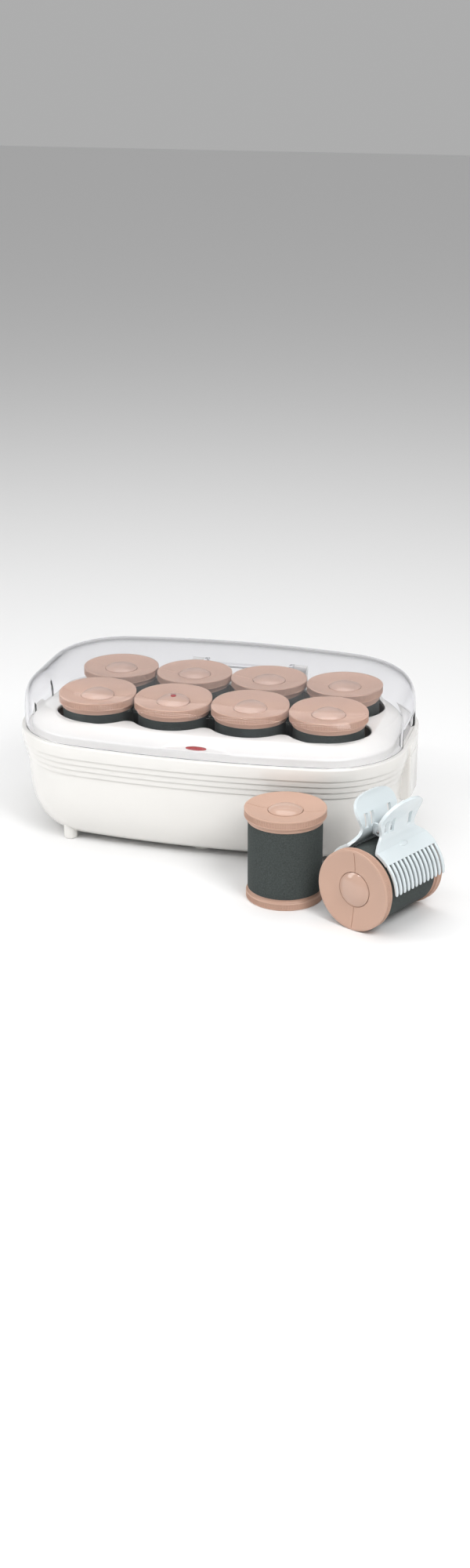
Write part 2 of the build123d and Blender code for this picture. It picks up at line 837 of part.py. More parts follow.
def clip_jaw(side, lug_x):
    """One jaw: comb teeth, solid band, waist, bell-shaped thumb grip and hinge lugs."""
    across = Plane(origin=(0, 0, 0), x_dir=(0, 1, 0), z_dir=(1, 0, 0))
    body = Pos(-comb_length / 2, 0, 0) * extrude(across * jaw_section(), comb_length)
    upright = Plane(origin=(0, -cap_radius, 0), x_dir=(1, 0, 0), z_dir=(0, -1, 0))
    bell_height = grip_top - pin_height + 2 * grip_corner
    bell = RectangleRounded(grip_span, bell_height, grip_corner)
    outline = Pos(0, grip_top - bell_height / 2) * bell
    shoulders = Rectangle(comb_length + overcut, shoulder_height)
    outline += Pos(0, shoulder_height / 2) * shoulders
    body &= extrude(upright * outline, -4 * cap_radius)
    for x in slot_places:
        body -= box_between((x - slot_width / 2, 0, slot_low),
                            (x + slot_width / 2, cap_radius, slot_low + slot_height))
    tooth = clip_tooth()
    for k in range(teeth):
        x = -comb_length / 2 + tooth_width / 2 + k * tooth_pitch
        body += Pos(x, 0, 0) * tooth
    for x in lug_x:
        body += Pos(x, 0, 0) * clip_lug()
    return body if side > 0 else mirror(body, Plane.XZ)


def clip_tooth():
    """One curved tooth, ending in a rounded tip level with the roller's axis."""
    inner = clip_radius
    outer = clip_radius + clip_tooth_depth
    across = Plane(origin=(-tooth_width / 2, 0, 0), x_dir=(0, 1, 0), z_dir=(1, 0, 0))
    tip = tooth_tip_angle
    root = tooth_root_angle + tooth_lap_angle
    middle = (tip + root) / 2
    end = clip_arc((inner + outer) / 2, tip)
    edges = ThreePointArc(clip_arc(inner, tip), clip_arc(inner, middle), clip_arc(inner, root))
    edges += Line(clip_arc(inner, root), clip_arc(outer, root))
    edges += ThreePointArc(clip_arc(outer, root), clip_arc(outer, middle), clip_arc(outer, tip))
    rounded = (end[0], end[1] - tooth_tip_drop)
    edges += ThreePointArc(clip_arc(outer, tip), rounded, clip_arc(inner, tip))
    return extrude(across * make_face(edges), tooth_width)


def clip_lug():
    """Lug of the +y jaw that reaches over to the pin."""
    across = Plane(origin=(-lug_thickness / 2, 0, 0), x_dir=(0, 1, 0), z_dir=(1, 0, 0))
    wall = clip_radius * cos(radians(band_top_angle)) + lug_sink
    low = pin_height - lug_root_below
    high = pin_height + lug_root_above
    plate = make_face(Polyline(
        (0, pin_height - lug_radius), (wall, low), (wall, high),
        (0, pin_height + lug_radius), (0, pin_height - lug_radius)))
    plate += Pos(0, pin_height) * Circle(lug_radius)
    plate -= Pos(0, pin_height) * Circle(clip_pin_radius + pin_gap)
    return extrude(across * plate, lug_thickness)


def clip_pin():
    return Pos(0, 0, pin_height) * Rot(0, 90, 0) * Cylinder(clip_pin_radius, clip_pin_length)


def clip_spring():
    length = spring_turns * spring_pitch
    coil_path = Helix(spring_pitch, length, spring_radius)
    start = Plane(origin=coil_path @ 0, z_dir=coil_path % 0)
    coil = sweep(start * Circle(wire_radius), coil_path, is_frenet=True)
    return Pos(-length / 2, 0, pin_height) * Rot(0, 90, 0) * coil


# ---- places ----

def lying_frames():
    """Frames of the lying roller and of the clip on it: both ends of the roller touch down."""
    flange_low = roller_length - cap_rim_height
    slope = (cap_radius - ring_radius) / flange_low
    lean = 1 / hypot(1, slope)
    rise = slope * lean
    ahead = (cos(radians(lying_heading)), sin(radians(lying_heading)))
    axis = (-ahead[0] * lean, -ahead[1] * lean, rise)
    above = (ahead[0] * rise, ahead[1] * rise, lean)
    base = (lying_x + roller_length * lean * ahead[0],
            lying_y + roller_length * lean * ahead[1],
            ring_radius * lean)
    middle = [b + clip_along * a for a, b in zip(axis, base)]
    roller = Plane(origin=base, x_dir=above, z_dir=axis)
    clip = Plane(origin=middle, x_dir=axis, z_dir=above)
    return roller.location, clip.location, axis, above


def roller_nodes(name, place):
    """The five pieces of a loose roller, each in a node of its own."""
    return {
        f"{name}_cap": [place * roller_cap()],
        f"{name}_dome": [place * roller_dome()],
        f"{name}_sleeve": [place * roller_sleeve()],
        f"{name}_core": [place * roller_core()],
        f"{name}_ring": [place * roller_ring()],
    }


def case_roller_nodes():
    """The rollers in the case, with the cap and its dome together and the core and ring."""
    nodes = {}
    for row, y in rows_y.items():
        for k, x in enumerate(columns_x, start=1):
            place = Pos(x, y, roller_floor)
            has_dot = row == "front" and k == dot_column
            name = f"{row}_roller_{k}"
            nodes[f"{name}_cap"] = [place * roller_cap(), place * roller_dome(has_dot)]
            nodes[f"{name}_sleeve"] = [place * roller_sleeve()]
            nodes[f"{name}_core"] = [place * roller_core(), place * roller_ring()]
            if has_dot:
                nodes["ready_dot"] = [place * ready_dot()]
    return nodes


def case_nodes():
    return {
        "housing": [housing()],
        "base_plate": [base_plate()],
        "base_screws": base_screws(),
        "feet": feet(),
        "front_nub": [front_nub()],
        "deck": [deck()],
        "indicator_lens": [indicator_lens()],
        "indicator_lamp": [indicator_lamp()],
        "well_liner": [well_liner()],
        "heating_plate": [heating_plate()],
        "heating_posts": heating_posts(),
        "heating_element": [heating_element()],
        "thermostat": [thermostat()],
        "thermal_fuse": [thermal_fuse()],
        "heat_shield": [heat_shield()],
        "cord_gland": [cord_gland()],
        "terminal_block": [terminal_block()],
        "end_panels": end_panels(),
        "hinge_brackets": hinge_brackets(),
        "hinge_pins": hinge_pins(),
        "lid": [lid()],
    }


def clip_nodes(place):
    outer = (-lug_outer_x, lug_outer_x)
    inner = (-lug_inner_x, lug_inner_x)
    return {
        "clip_jaw_right": [place * clip_jaw(1, outer)],
        "clip_jaw_left": [place * clip_jaw(-1, inner)],
        "clip_pin": [place * clip_pin()],
        "clip_spring": [place * clip_spring()],
    }


def build():
    """Every node's solids, about the middle of the grid of rollers."""
    lying, clip, _, _ = lying_frames()
    nodes = case_nodes()
    nodes.update(case_roller_nodes())
    nodes.update(roller_nodes("standing_roller", Pos(standing_x, standing_y, 0)))
    nodes.update(roller_nodes("lying_roller", lying))
    nodes.update(clip_nodes(clip))
    return nodes


def solids_of(shapes):
    return [solid for shape in shapes for solid in shape.solids()]


def main():
    nodes = {name: solids_of(shapes) for name, shapes in build().items()}
    box = Compound([s for solids in nodes.values() for s in solids]).bounding_box()
    middle = box.center()
    move = Pos(-middle.X, -middle.Y, -box.min.Z)
    _, clip, axis, above = lying_frames()
    os.makedirs("parts", exist_ok=True)
    for name, solids in nodes.items():
        moved = [move * solid for solid in solids]
        shape = moved[0] if len(moved) == 1 else Compound(moved)
        export_step(shape, f"parts/{name}.step")
    print("moved by", [round(v, 4) for v in (-middle.X, -middle.Y, -box.min.Z)])
    print("size", [round(v, 3) for v in box.size])
    print("clip frame at", [round(v, 5) for v in (move * clip).position])
    print("lying axis", [round(v, 6) for v in axis], "above", [round(v, 6) for v in above])


main()
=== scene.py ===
"""A heated hair roller set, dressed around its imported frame.

The case with its hinged clear lid, the eight rollers on their heating posts, the two loose
rollers and the comb-toothed claw clip are built here as finished meshes with node materials.
All sizes are in metres.
"""

from __future__ import annotations

import json
import logging
import math
from collections.abc import Iterable, Mapping, Sequence
from dataclasses import dataclass
from enum import Enum

import bmesh
import bpy
import numpy as np
from mathutils import Matrix, Vector


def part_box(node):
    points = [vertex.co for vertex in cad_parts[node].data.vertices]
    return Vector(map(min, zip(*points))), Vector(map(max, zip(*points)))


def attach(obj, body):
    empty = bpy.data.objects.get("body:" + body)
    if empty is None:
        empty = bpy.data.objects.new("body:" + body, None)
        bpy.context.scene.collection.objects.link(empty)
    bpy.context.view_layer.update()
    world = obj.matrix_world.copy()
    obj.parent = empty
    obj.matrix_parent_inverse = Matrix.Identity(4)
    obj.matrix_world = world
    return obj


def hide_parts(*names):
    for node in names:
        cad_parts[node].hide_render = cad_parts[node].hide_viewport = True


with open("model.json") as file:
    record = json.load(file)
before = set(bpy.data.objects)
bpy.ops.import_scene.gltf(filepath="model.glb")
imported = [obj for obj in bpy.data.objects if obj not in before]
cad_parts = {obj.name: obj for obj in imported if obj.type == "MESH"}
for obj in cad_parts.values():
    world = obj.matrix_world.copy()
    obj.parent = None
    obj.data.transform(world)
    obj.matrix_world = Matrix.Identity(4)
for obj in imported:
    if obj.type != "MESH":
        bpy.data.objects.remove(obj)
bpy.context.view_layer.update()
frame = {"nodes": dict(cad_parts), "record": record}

LOG = logging.getLogger("roller_set")
MERGE = 1e-6
BEVEL_ANGLE = 38.0
Pair = tuple[float, float]
Point = tuple[float, float, float]
Colour = tuple[float, float, float]
Rings = list[np.ndarray]


# ---------------------------------------------------------------- node graphs

class Value:
    """A number that changes over a surface, used in ordinary arithmetic."""

    def __init__(self, graph: Graph, socket: bpy.types.NodeSocket) -> None:
        """Keeps the graph that the maths nodes go in, and the socket that gives the number."""
        self.graph = graph
        self.socket = socket

    def maths(self, operation: str, *operands: Value | float) -> Value:
        """Adds one Math node.

        Args:
            operation: The node's operation.
            operands: Its inputs in order.

        Returns:
            The node's result.
        """
        sockets = dict(enumerate(operands))
        made = self.graph.node("ShaderNodeMath", {"operation": operation}, sockets)
        return Value(self.graph, made.outputs[0])

    def __add__(self, other: Value | float) -> Value:
        """self + other."""
        return self.maths("ADD", self, other)

    def __radd__(self, other: float) -> Value:
        """other + self."""
        return self.maths("ADD", other, self)

    def __mul__(self, other: Value | float) -> Value:
        """self * other."""
        return self.maths("MULTIPLY", self, other)

    def __rmul__(self, other: float) -> Value:
        """other * self."""
        return self.maths("MULTIPLY", other, self)

    def __pow__(self, other: float) -> Value:
        """self ** other."""
        return self.maths("POWER", self, other)


class Graph:
    """Adds nodes to one node tree."""

    def __init__(self, tree: bpy.types.NodeTree) -> None:
        """Empties the tree and keeps it."""
        self.tree = tree
        tree.nodes.clear()

    def node(
        self,
        kind: str,
        settings: Mapping[str, object] | None = None,
        sockets: Mapping[str | int, object] | None = None,
    ) -> bpy.types.Node:
        """Adds one node.

        Args:
            kind: The node's type.
            settings: Its properties, set first; stops gives a ramp's positions and colours.
            sockets: Values or links for its inputs, by name or number.

        Returns:
            The node.
        """
        made = self.tree.nodes.new(kind)
        for key, value in (settings or {}).items():
            if key == "stops":
                self._stops(made, value)
            else:
                setattr(made, key, value)
        for key, value in (sockets or {}).items():
            if isinstance(value, Value):
                value = value.socket
            if isinstance(value, bpy.types.NodeSocket):
                self.tree.links.new(value, made.inputs[key])
            else:
                made.inputs[key].default_value = value
        return made

    @staticmethod
    def _stops(ramp: bpy.types.Node, stops: Sequence[tuple[float, Colour]]) -> None:
        """Gives a colour ramp its stops."""
        elements = ramp.color_ramp.elements
        while len(elements) < len(stops):
            elements.new(1.0)
        for element, (place, colour) in zip(elements, stops):
            element.position = place
            element.color = (*colour, 1.0)

    def noise(self, scale: float, detail: float = 3.0) -> Value:
        """Noise over the piece's own coordinates.

        Args:
            scale: Features to the metre.
            detail: Octaves.

        Returns:
            A number around a half.
        """
        place = self.node("ShaderNodeTexCoord").outputs["Object"]
        sockets = {"Vector": place, "Scale": scale, "Detail": detail}
        return Value(self, self.node("ShaderNodeTexNoise", sockets=sockets).outputs[0])

    def mix(self, share: Value | float, low: object, high: object) -> bpy.types.NodeSocket:
        """Mixes two colours.

        Args:
            share: How much of the second.
            low: The first colour or its socket.
            high: The second colour or its socket.

        Returns:
            The mixed colour's socket.
        """
        made = self.node("ShaderNodeMix", {"data_type": "RGBA"}, {0: share, 6: low, 7: high})
        return made.outputs[2]

    def bump(self, height: Value, strength: float, distance: float) -> bpy.types.NodeSocket:
        """A bump's normal from a height, with its strength and depth in metres."""
        sockets = {"Height": height, "Strength": strength, "Distance": distance}
        return self.node("ShaderNodeBump", sockets=sockets).outputs["Normal"]

    def principled(self, sockets: Mapping[str | int, object]) -> bpy.types.Node:
        """Adds a Principled shader."""
        return self.node("ShaderNodeBsdfPrincipled", sockets=sockets)

    def end(self, shader: bpy.types.Node, kind: str = "ShaderNodeOutputMaterial") -> None:
        """Leads the shader to a new output node."""
        self.node(kind, sockets={"Surface": shader.outputs[0]})


def new_material(name: str) -> tuple[bpy.types.Material, Graph]:
    """A new material, and the graph of its emptied tree."""
    made = bpy.data.materials.new(name)
    made.use_nodes = True
    return made, Graph(made.node_tree)


def opaque(colour: Colour) -> tuple[float, float, float, float]:
    """A colour with full alpha."""
    return (*colour, 1.0)


def shaded(colour: Colour, factor: float) -> tuple[float, float, float, float]:
    """A colour made darker or lighter, with full alpha."""
    return (colour[0] * factor, colour[1] * factor, colour[2] * factor, 1.0)


# ---------------------------------------------------------------- finishes

@dataclass(frozen=True)
class Moulded:
    """Injection-moulded plastic, with a faint mottle and the fine grain of its tool.

    Attributes:
        slot: The record's material slot.
        colour: Base colour, linear.
        roughness: Middle roughness.
        mottle: Share by which the colour varies.
        grain_scale: Grain features to the metre.
        grain_depth: Grain depth in metres.
        coat: Weight of the glossy skin.
        coat_roughness: Its roughness.
        mottle_scale: Mottle features to the metre.
        grain_strength: Strength of the grain's bump.
    """

    slot: str
    colour: Colour
    roughness: float
    mottle: float = 0.03
    grain_scale: float = 1800.0
    grain_depth: float = 0.00002
    coat: float = 0.0
    coat_roughness: float = 0.06
    mottle_scale: float = 28.0
    grain_strength: float = 0.35

    def material(self, name: str) -> bpy.types.Material:
        """Builds the node material."""
        made, graph = new_material(name)
        broad = graph.noise(self.mottle_scale, 2.0)
        grain = graph.noise(self.grain_scale)
        colour = graph.mix(broad, shaded(self.colour, 1 - self.mottle),
                           shaded(self.colour, 1 + self.mottle))
        sockets = {
            "Base Color": colour,
            "Roughness": self.roughness * 0.85 + grain * (self.roughness * 0.3),
            "Normal": graph.bump(grain, self.grain_strength, self.grain_depth),
            "Coat Weight": self.coat,
            "Coat Roughness": self.coat_roughness,
        }
        graph.end(graph.principled(sockets))
        return made


@dataclass(frozen=True)
class Clear:
    """Clear polished plastic that lets shadow rays through, with painted shade: its colour turns to
    the edge colour where it is seen edge-on.
    """

    slot: str
    colour: Colour
    # Painted shade colour, laid on where the surface is seen at a grazing angle.
    edge: Colour
    roughness: float
    shadow: Colour
    ior: float = 1.22
    edge_shade_power: float = 6.0
    scuff_scale: float = 60.0

    def material(self, name: str) -> bpy.types.Material:
        """Builds the node material."""
        made, graph = new_material(name)
        weight = graph.node("ShaderNodeLayerWeight", sockets={"Blend": 0.5})
        facing = Value(graph, weight.outputs["Facing"])
        scuff = graph.noise(self.scuff_scale, 4.0)
        sockets = {
            # Painted edge shade: the colour turns to the dark edge colour as the surface turns
            # edge-on.
            "Base Color": graph.mix(facing ** self.edge_shade_power, opaque(self.colour),
                                    opaque(self.edge)),
            "Roughness": self.roughness + scuff * 0.01,
            "IOR": self.ior,
            "Transmission Weight": 1.0,
        }
        glass = graph.principled(sockets)
        through = graph.node("ShaderNodeBsdfTransparent", sockets={"Color": opaque(self.shadow)})
        light = graph.node("ShaderNodeLightPath")
        mixed = graph.node("ShaderNodeMixShader", sockets={
            0: light.outputs["Is Shadow Ray"], 1: glass.outputs[0], 2: through.outputs[0]})
        graph.end(mixed)
        return made


@dataclass(frozen=True)
class Flock:
    """Short dense flock: a speckled pile with sheen."""

    slot: str
    colour: Colour
    pile_scale: float = 1100.0
    pile_depth: float = 0.00006
    worn_scale: float = 90.0
    specks: Pair = (0.3, 1.9)
    sheen_tint: Colour = (0.75, 0.8, 0.8)

    def material(self, name: str) -> bpy.types.Material:
        """Builds the node material."""
        made, graph = new_material(name)
        pile = graph.noise(self.pile_scale, 4.0)
        worn = graph.noise(self.worn_scale)
        speck = graph.mix(pile, *(shaded(self.colour, factor) for factor in self.specks))
        sockets = {
            "Base Color": graph.mix(worn * 0.3, speck, shaded(self.colour, 1.25)),
            "Roughness": 0.8 + pile * 0.2,
            "Normal": graph.bump(pile, 0.5, self.pile_depth),
            "Specular IOR Level": 0.2,
            "Sheen Weight": 0.02,
            "Sheen Roughness": 0.5,
            "Sheen Tint": opaque(self.sheen_tint),
        }
        graph.end(graph.principled(sockets))
        return made


@dataclass(frozen=True)
class Metal:
    """Plain sheet metal or wire with fine rolling marks."""

    slot: str
    colour: Colour
    roughness: float
    mark_scale: float = 900.0
    tarnish_scale: float = 45.0

    def material(self, name: str) -> bpy.types.Material:
        """Builds the node material."""
        made, graph = new_material(name)
        marks = graph.noise(self.mark_scale, 2.0)
        tarnish = graph.noise(self.tarnish_scale)
        sockets = {
            "Base Color": graph.mix(tarnish, shaded(self.colour, 0.85), shaded(self.colour, 1.1)),
            "Metallic": 1.0,
            "Roughness": self.roughness * 0.7 + marks * (self.roughness * 0.6),
            "Normal": graph.bump(marks, 0.2, 0.00001),
        }
        graph.end(graph.principled(sockets))
        return made


class Finish(Enum):
    """Every finish in the set."""

    WHITE_CASE = Moulded("white_plastic", (0.80, 0.785, 0.755), 0.22, 0.012, 700.0, 0.00001, 0.4)
    # The clear lid's edge colour (0.25, 0.24, 0.38) is painted shade along its grazing edges.
    CLEAR_LID = Clear("clear_lid", (0.99, 0.99, 1.0), (0.25, 0.24, 0.38), 0.0, (0.46, 0.47, 0.49))
    ROSE_SATIN = Moulded("rose_plastic", (0.52, 0.335, 0.255), 0.42, 0.03, 2400.0, 0.00003)
    ROSE_GLOSS = Moulded("rose_gloss", (0.52, 0.345, 0.27), 0.12, 0.02, 500.0, 0.000005, 0.3)
    FLOCK = Flock("flock", (0.048, 0.056, 0.054))
    CORE = Moulded("core_plastic", (0.035, 0.033, 0.030), 0.45)
    CLIP = Moulded("clip_plastic", (0.66, 0.72, 0.74), 0.14, 0.015, 500.0, 0.000008, 0.4)
    STEEL = Metal("steel", (0.62, 0.62, 0.63), 0.28)
    ALUMINIUM = Metal("aluminium", (0.72, 0.72, 0.73), 0.35)
    RED_LENS = Moulded("red_plastic", (0.36, 0.008, 0.014), 0.12, 0.05, 400.0, 0.000005, 0.8)
    # The lamp glass's edge colour is painted shade along its grazing edges.
    LAMP = Clear("lamp_glass", (0.95, 0.85, 0.80), (0.7, 0.5, 0.45), 0.05, (0.95, 0.9, 0.88))
    TAUPE = Moulded("taupe_plastic", (0.17, 0.135, 0.11), 0.5, 0.06, 1500.0, 0.00004)
    GREY = Moulded("grey_plastic", (0.17, 0.17, 0.175), 0.42, 0.04)

    def dress(self, piece: bpy.types.Object) -> None:
        """Gives the piece this finish's material."""
        name = f"{self.name.lower()}_finish"
        made = bpy.data.materials.get(name) or self.value.material(name)
        piece.data.materials.clear()
        piece.data.materials.append(made)


# ---------------------------------------------------------------- shapes

class Shape:
    """Points and faces, gathered before they become a mesh."""

    def __init__(self) -> None:
        """Starts empty."""
        self.points = np.zeros((0, 3))
        self.faces: list[tuple[int, ...]] = []

    def add(self, points: np.ndarray, faces: Iterable[Sequence[int]]) -> Shape:
        """Adds points and the faces that number them from nought, and returns self."""
        base = len(self.points)
        self.points = np.vstack([self.points, points])
        self.faces += [tuple(base + i for i in face) for face in faces]
        return self

    def join(self, other: Shape) -> Shape:
        """Adds another shape, and returns self."""
        return self.add(other.points, other.faces)

    def placed(self, place: Matrix) -> Shape:
        """A moved copy."""
        turn = np.array(place)
        moved = Shape()
        return moved.add(self.points @ turn[:3, :3].T + turn[:3, 3], self.faces)


def loft(rings: Rings, wrapped: bool = False, lids: bool = False) -> Shape:
    """Joins closed rings of equal length with quads.

    Args:
        rings: Arrays of points, each going round once.
        wrapped: True joins the last ring to the first.
        lids: True closes the first and last ring with a face.

    Returns:
        The shape.
    """
    count = len(rings[0])
    total = len(rings)
    faces: list[tuple[int, ...]] = []
    for k in range(total if wrapped else total - 1):
        low = k * count
        high = (k + 1) % total * count
        for i in range(count):
            after = (i + 1) % count
            faces.append((low + i, low + after, high + after, high + i))
    if lids:
        faces.append(tuple(range(count)))
        faces.append(tuple(range((total - 1) * count, total * count)))
    return Shape().add(np.vstack(rings), faces)


def arc(centre: Pair, radius: float, first: float, last: float, count: int) -> list[Pair]:
    """Points along an arc, with both ends.

    Args:
        centre: Its centre.
        radius: Its radius.
        first: Angle of the first point in degrees.
        last: Angle of the last point in degrees.
        count: Number of points.

    Returns:
        The points.
    """
    angles = np.radians(np.linspace(first, last, count))
    return [(centre[0] + radius * math.cos(a), centre[1] + radius * math.sin(a)) for a in angles]


def lathe(profile: Sequence[Pair], columns: int = 128, wrapped: bool = False) -> Shape:
    """Turns a profile of radius and height about the upright axis.

    Args:
        profile: The profile's points.
        columns: Steps round the axis.
        wrapped: True where the profile is a closed loop.

    Returns:
        The shape, standing on the origin.
    """
    angles = np.linspace(0, 2 * math.pi, columns, endpoint=False)
    unit = np.column_stack([np.cos(angles), np.sin(angles)])
    rings = [np.column_stack([unit * r, np.full(columns, z)]) for r, z in profile]
    return loft(rings, wrapped)


def block(low: Sequence[float], high: Sequence[float]) -> Shape:
    """A box from its low corner to its high corner."""
    (x0, y0, z0), (x1, y1, z1) = low, high
    ring = np.array([(x0, y0, 0), (x1, y0, 0), (x1, y1, 0), (x0, y1, 0)])
    return loft([ring + (0, 0, z0), ring + (0, 0, z1)], lids=True)


def eye_plate(reach: float, root: float, tip: float, hole: float, low: float, high: float) -> Shape:
    """A plate that tapers to a round eye, in the XY plane with its eye on the origin.

    Args:
        reach: Distance from the eye to the root, along -X.
        root: Half the width at the root.
        tip: Radius of the eye's outside.
        hole: Radius of the eye's hole.
        low: Lower face's Z.
        high: Upper face's Z.

    Returns:
        The closed plate.
    """
    slope = (root - tip) / reach
    outer = []
    inner = []
    for angle in np.radians(np.arange(0, 360, 7.5)):
        c, s = math.cos(angle), math.sin(angle)
        radius = tip
        if c < 0:
            side = tip / (abs(s) + slope * c) if abs(s) + slope * c > 0 else reach / -c
            radius = min(side, reach / -c)
        outer.append((radius * c, radius * s))
        inner.append((hole * c, hole * s))
    flat = [np.column_stack([np.array(ring), np.zeros(len(ring))]) for ring in (outer, inner)]
    rings = [flat[0] + (0, 0, low), flat[0] + (0, 0, high), flat[1] + (0, 0, high),
             flat[1] + (0, 0, low)]
    return loft(rings, wrapped=True)


def axes(origin: Vector, x: Vector, y: Vector, z: Vector) -> Matrix:
    """The place whose axes are x, y and z and whose origin is origin."""
    place = Matrix((x, y, z)).transposed().to_4x4()
    place.translation = origin
    return place


def smoothstep(share: np.ndarray | float) -> np.ndarray:
    """Eases a share from 0 to 1."""
    t = np.clip(share, 0.0, 1.0)
    return t * t * (3 - 2 * t)


# ---------------------------------------------------------------- pieces

def settle(piece: bpy.types.Object) -> None:
    """Turns the modifiers' result into the piece's plain mesh."""
    graph = bpy.context.evaluated_depsgraph_get()
    mesh = bpy.data.meshes.new_from_object(piece.evaluated_get(graph), depsgraph=graph)
    mesh.name = piece.name
    piece.modifiers.clear()
    piece.data = mesh


def outward(mesh: bpy.types.Mesh) -> None:
    """Merges doubles, drops empty faces and turns every face outwards."""
    edit = bmesh.new()
    edit.from_mesh(mesh)
    bmesh.ops.remove_doubles(edit, verts=edit.verts, dist=MERGE)
    bmesh.ops.dissolve_degenerate(edit, edges=edit.edges, dist=MERGE)
    bmesh.ops.recalc_face_normals(edit, faces=edit.faces)
    edit.to_mesh(mesh)
    edit.free()


def new_object(name: str, data: bpy.types.ID) -> bpy.types.Object:
    """Links a new object that holds a mesh, a light or a camera."""
    made = bpy.data.objects.new(name, data)
    bpy.context.scene.collection.objects.link(made)
    return made


def mesh_object(name: str, shape: Shape) -> bpy.types.Object:
    """A new object that holds the shape, merged and turned outwards."""
    mesh = bpy.data.meshes.new(name)
    mesh.from_pydata(shape.points.tolist(), [], shape.faces)
    outward(mesh)
    return new_object(name, mesh)


def round_edges(made: bpy.types.Object, width: float, segments: int, angle: float) -> None:
    """Rounds the edges sharper than an angle in degrees."""
    rounding = made.modifiers.new("rounding", "BEVEL")
    rounding.width = width
    rounding.segments = segments
    rounding.limit_method = "ANGLE"
    rounding.angle_limit = math.radians(angle)
    settle(made)


def smooth(mesh: bpy.types.Mesh, crease: float) -> None:
    """Shades the mesh smooth, but for edges past an angle in degrees."""
    mesh.shade_smooth()
    mesh.set_sharp_from_angle(angle=math.radians(crease))


def piece(
    name: str,
    shape: Shape,
    finish: Finish,
    body: str,
    stands_for: Sequence[str] = (),
    place: Matrix | None = None,
    bevel: float = 0.0,
    crease: float = 35.0,
) -> bpy.types.Object:
    """Makes one finished piece and fixes it to its body.

    Args:
        name: The piece's name.
        shape: Its closed shape, about the place's origin.
        finish: Its finish.
        body: The body it rides on.
        stands_for: The CAD nodes that it replaces.
        place: Where the shape goes, or None for the middle of the grid of rollers.
        bevel: Width of the rounding along its sharp edges, or 0.
        crease: Angle in degrees past which an edge stays sharp.

    Returns:
        The object.
    """
    made = mesh_object(name, shape.placed(GRID if place is None else place))
    if bevel:
        round_edges(made, bevel, 3, BEVEL_ANGLE)
    smooth(made.data, crease)
    return fix(made, finish, body, stands_for)


def fix(
    made: bpy.types.Object, finish: Finish, body: str, stands_for: Sequence[str] = ()
) -> bpy.types.Object:
    """Dresses a piece, fixes it to its body and reports it.

    Args:
        made: The piece.
        finish: Its finish.
        body: The body it rides on.
        stands_for: The CAD nodes that it replaces.

    Returns:
        The piece.
    """
    finish.dress(made)
    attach(made, body)
    if stands_for:
        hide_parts(*stands_for)
    LOG.info("%s: %d faces on %s", made.name, len(made.data.polygons), body)
    return made


# ---------------------------------------------------------------- geometry nodes

class Repeat:
    """A geometry node tree with named inputs, and what it makes as a plain mesh."""

    def __init__(self, name: str, inputs: Mapping[str, tuple[str, float]]) -> None:
        """Opens the tree.

        Args:
            name: The tree's name.
            inputs: Type and default value of each named input.
        """
        self.tree = bpy.data.node_groups.new(name, "GeometryNodeTree")
        face = self.tree.interface
        face.new_socket("Geometry", in_out="INPUT", socket_type="NodeSocketGeometry")
        face.new_socket("Geometry", in_out="OUTPUT", socket_type="NodeSocketGeometry")
        for label, (kind, value) in inputs.items():
            made = face.new_socket(label, in_out="INPUT", socket_type=kind)
            made.default_value = value
        face.new_socket("Material", in_out="INPUT", socket_type="NodeSocketMaterial")
        self.graph = Graph(self.tree)
        self.given = self.graph.node("NodeGroupInput").outputs

    def close(self, geometry: bpy.types.NodeSocket) -> None:
        """Ends the tree: instances made real, and the material set."""
        real = self.graph.node("GeometryNodeRealizeInstances", sockets={0: geometry})
        dressed = self.graph.node("GeometryNodeSetMaterial", sockets={
            "Geometry": real.outputs[0], "Material": self.given["Material"]})
        self.graph.node("NodeGroupOutput", sockets={0: dressed.outputs[0]})

    def make(
        self, name: str, start: Shape, values: Mapping[str, float], finish: Finish
    ) -> bpy.types.Object:
        """Runs the tree on a start shape.

        Args:
            name: The new object's name.
            start: The mesh that the tree is given.
            values: The named inputs.
            finish: The finish that the tree sets.

        Returns:
            An object that holds the result as a plain mesh.
        """
        made = mesh_object(name, start)
        finish.dress(made)
        run = made.modifiers.new("repeat", "NODES")
        run.node_group = self.tree
        sockets = {item.name: item.identifier for item in self.tree.interface.items_tree
                   if item.item_type == "SOCKET" and item.in_out == "INPUT"}
        for label, value in values.items():
            run[sockets[label]] = value
        run[sockets["Material"]] = made.data.materials[0]
        settle(made)
        return made


def ring_repeat() -> Repeat:
    """A tree that sets copies of the given mesh round an upright axis."""
    tree = Repeat("ring_of_copies", {"Count": ("NodeSocketInt", 8)})
    graph, given = tree.graph, tree.given
    count = given["Count"]
    points = graph.node("GeometryNodePoints", sockets={"Count": count})
    index = graph.node("GeometryNodeInputIndex").outputs[0]
    step = graph.node("ShaderNodeMath", {"operation": "DIVIDE"}, {0: 2 * math.pi, 1: count})
    turn = graph.node("ShaderNodeMath", {"operation": "MULTIPLY"}, {0: index, 1: step.outputs[0]})
    spin = graph.node("ShaderNodeCombineXYZ", sockets={"Z": turn.outputs[0]})
    copies = graph.node("GeometryNodeInstanceOnPoints", sockets={
        "Points": points.outputs[0], "Instance": given["Geometry"], "Rotation": spin.outputs[0]})
    tree.close(copies.outputs[0])
    return tree


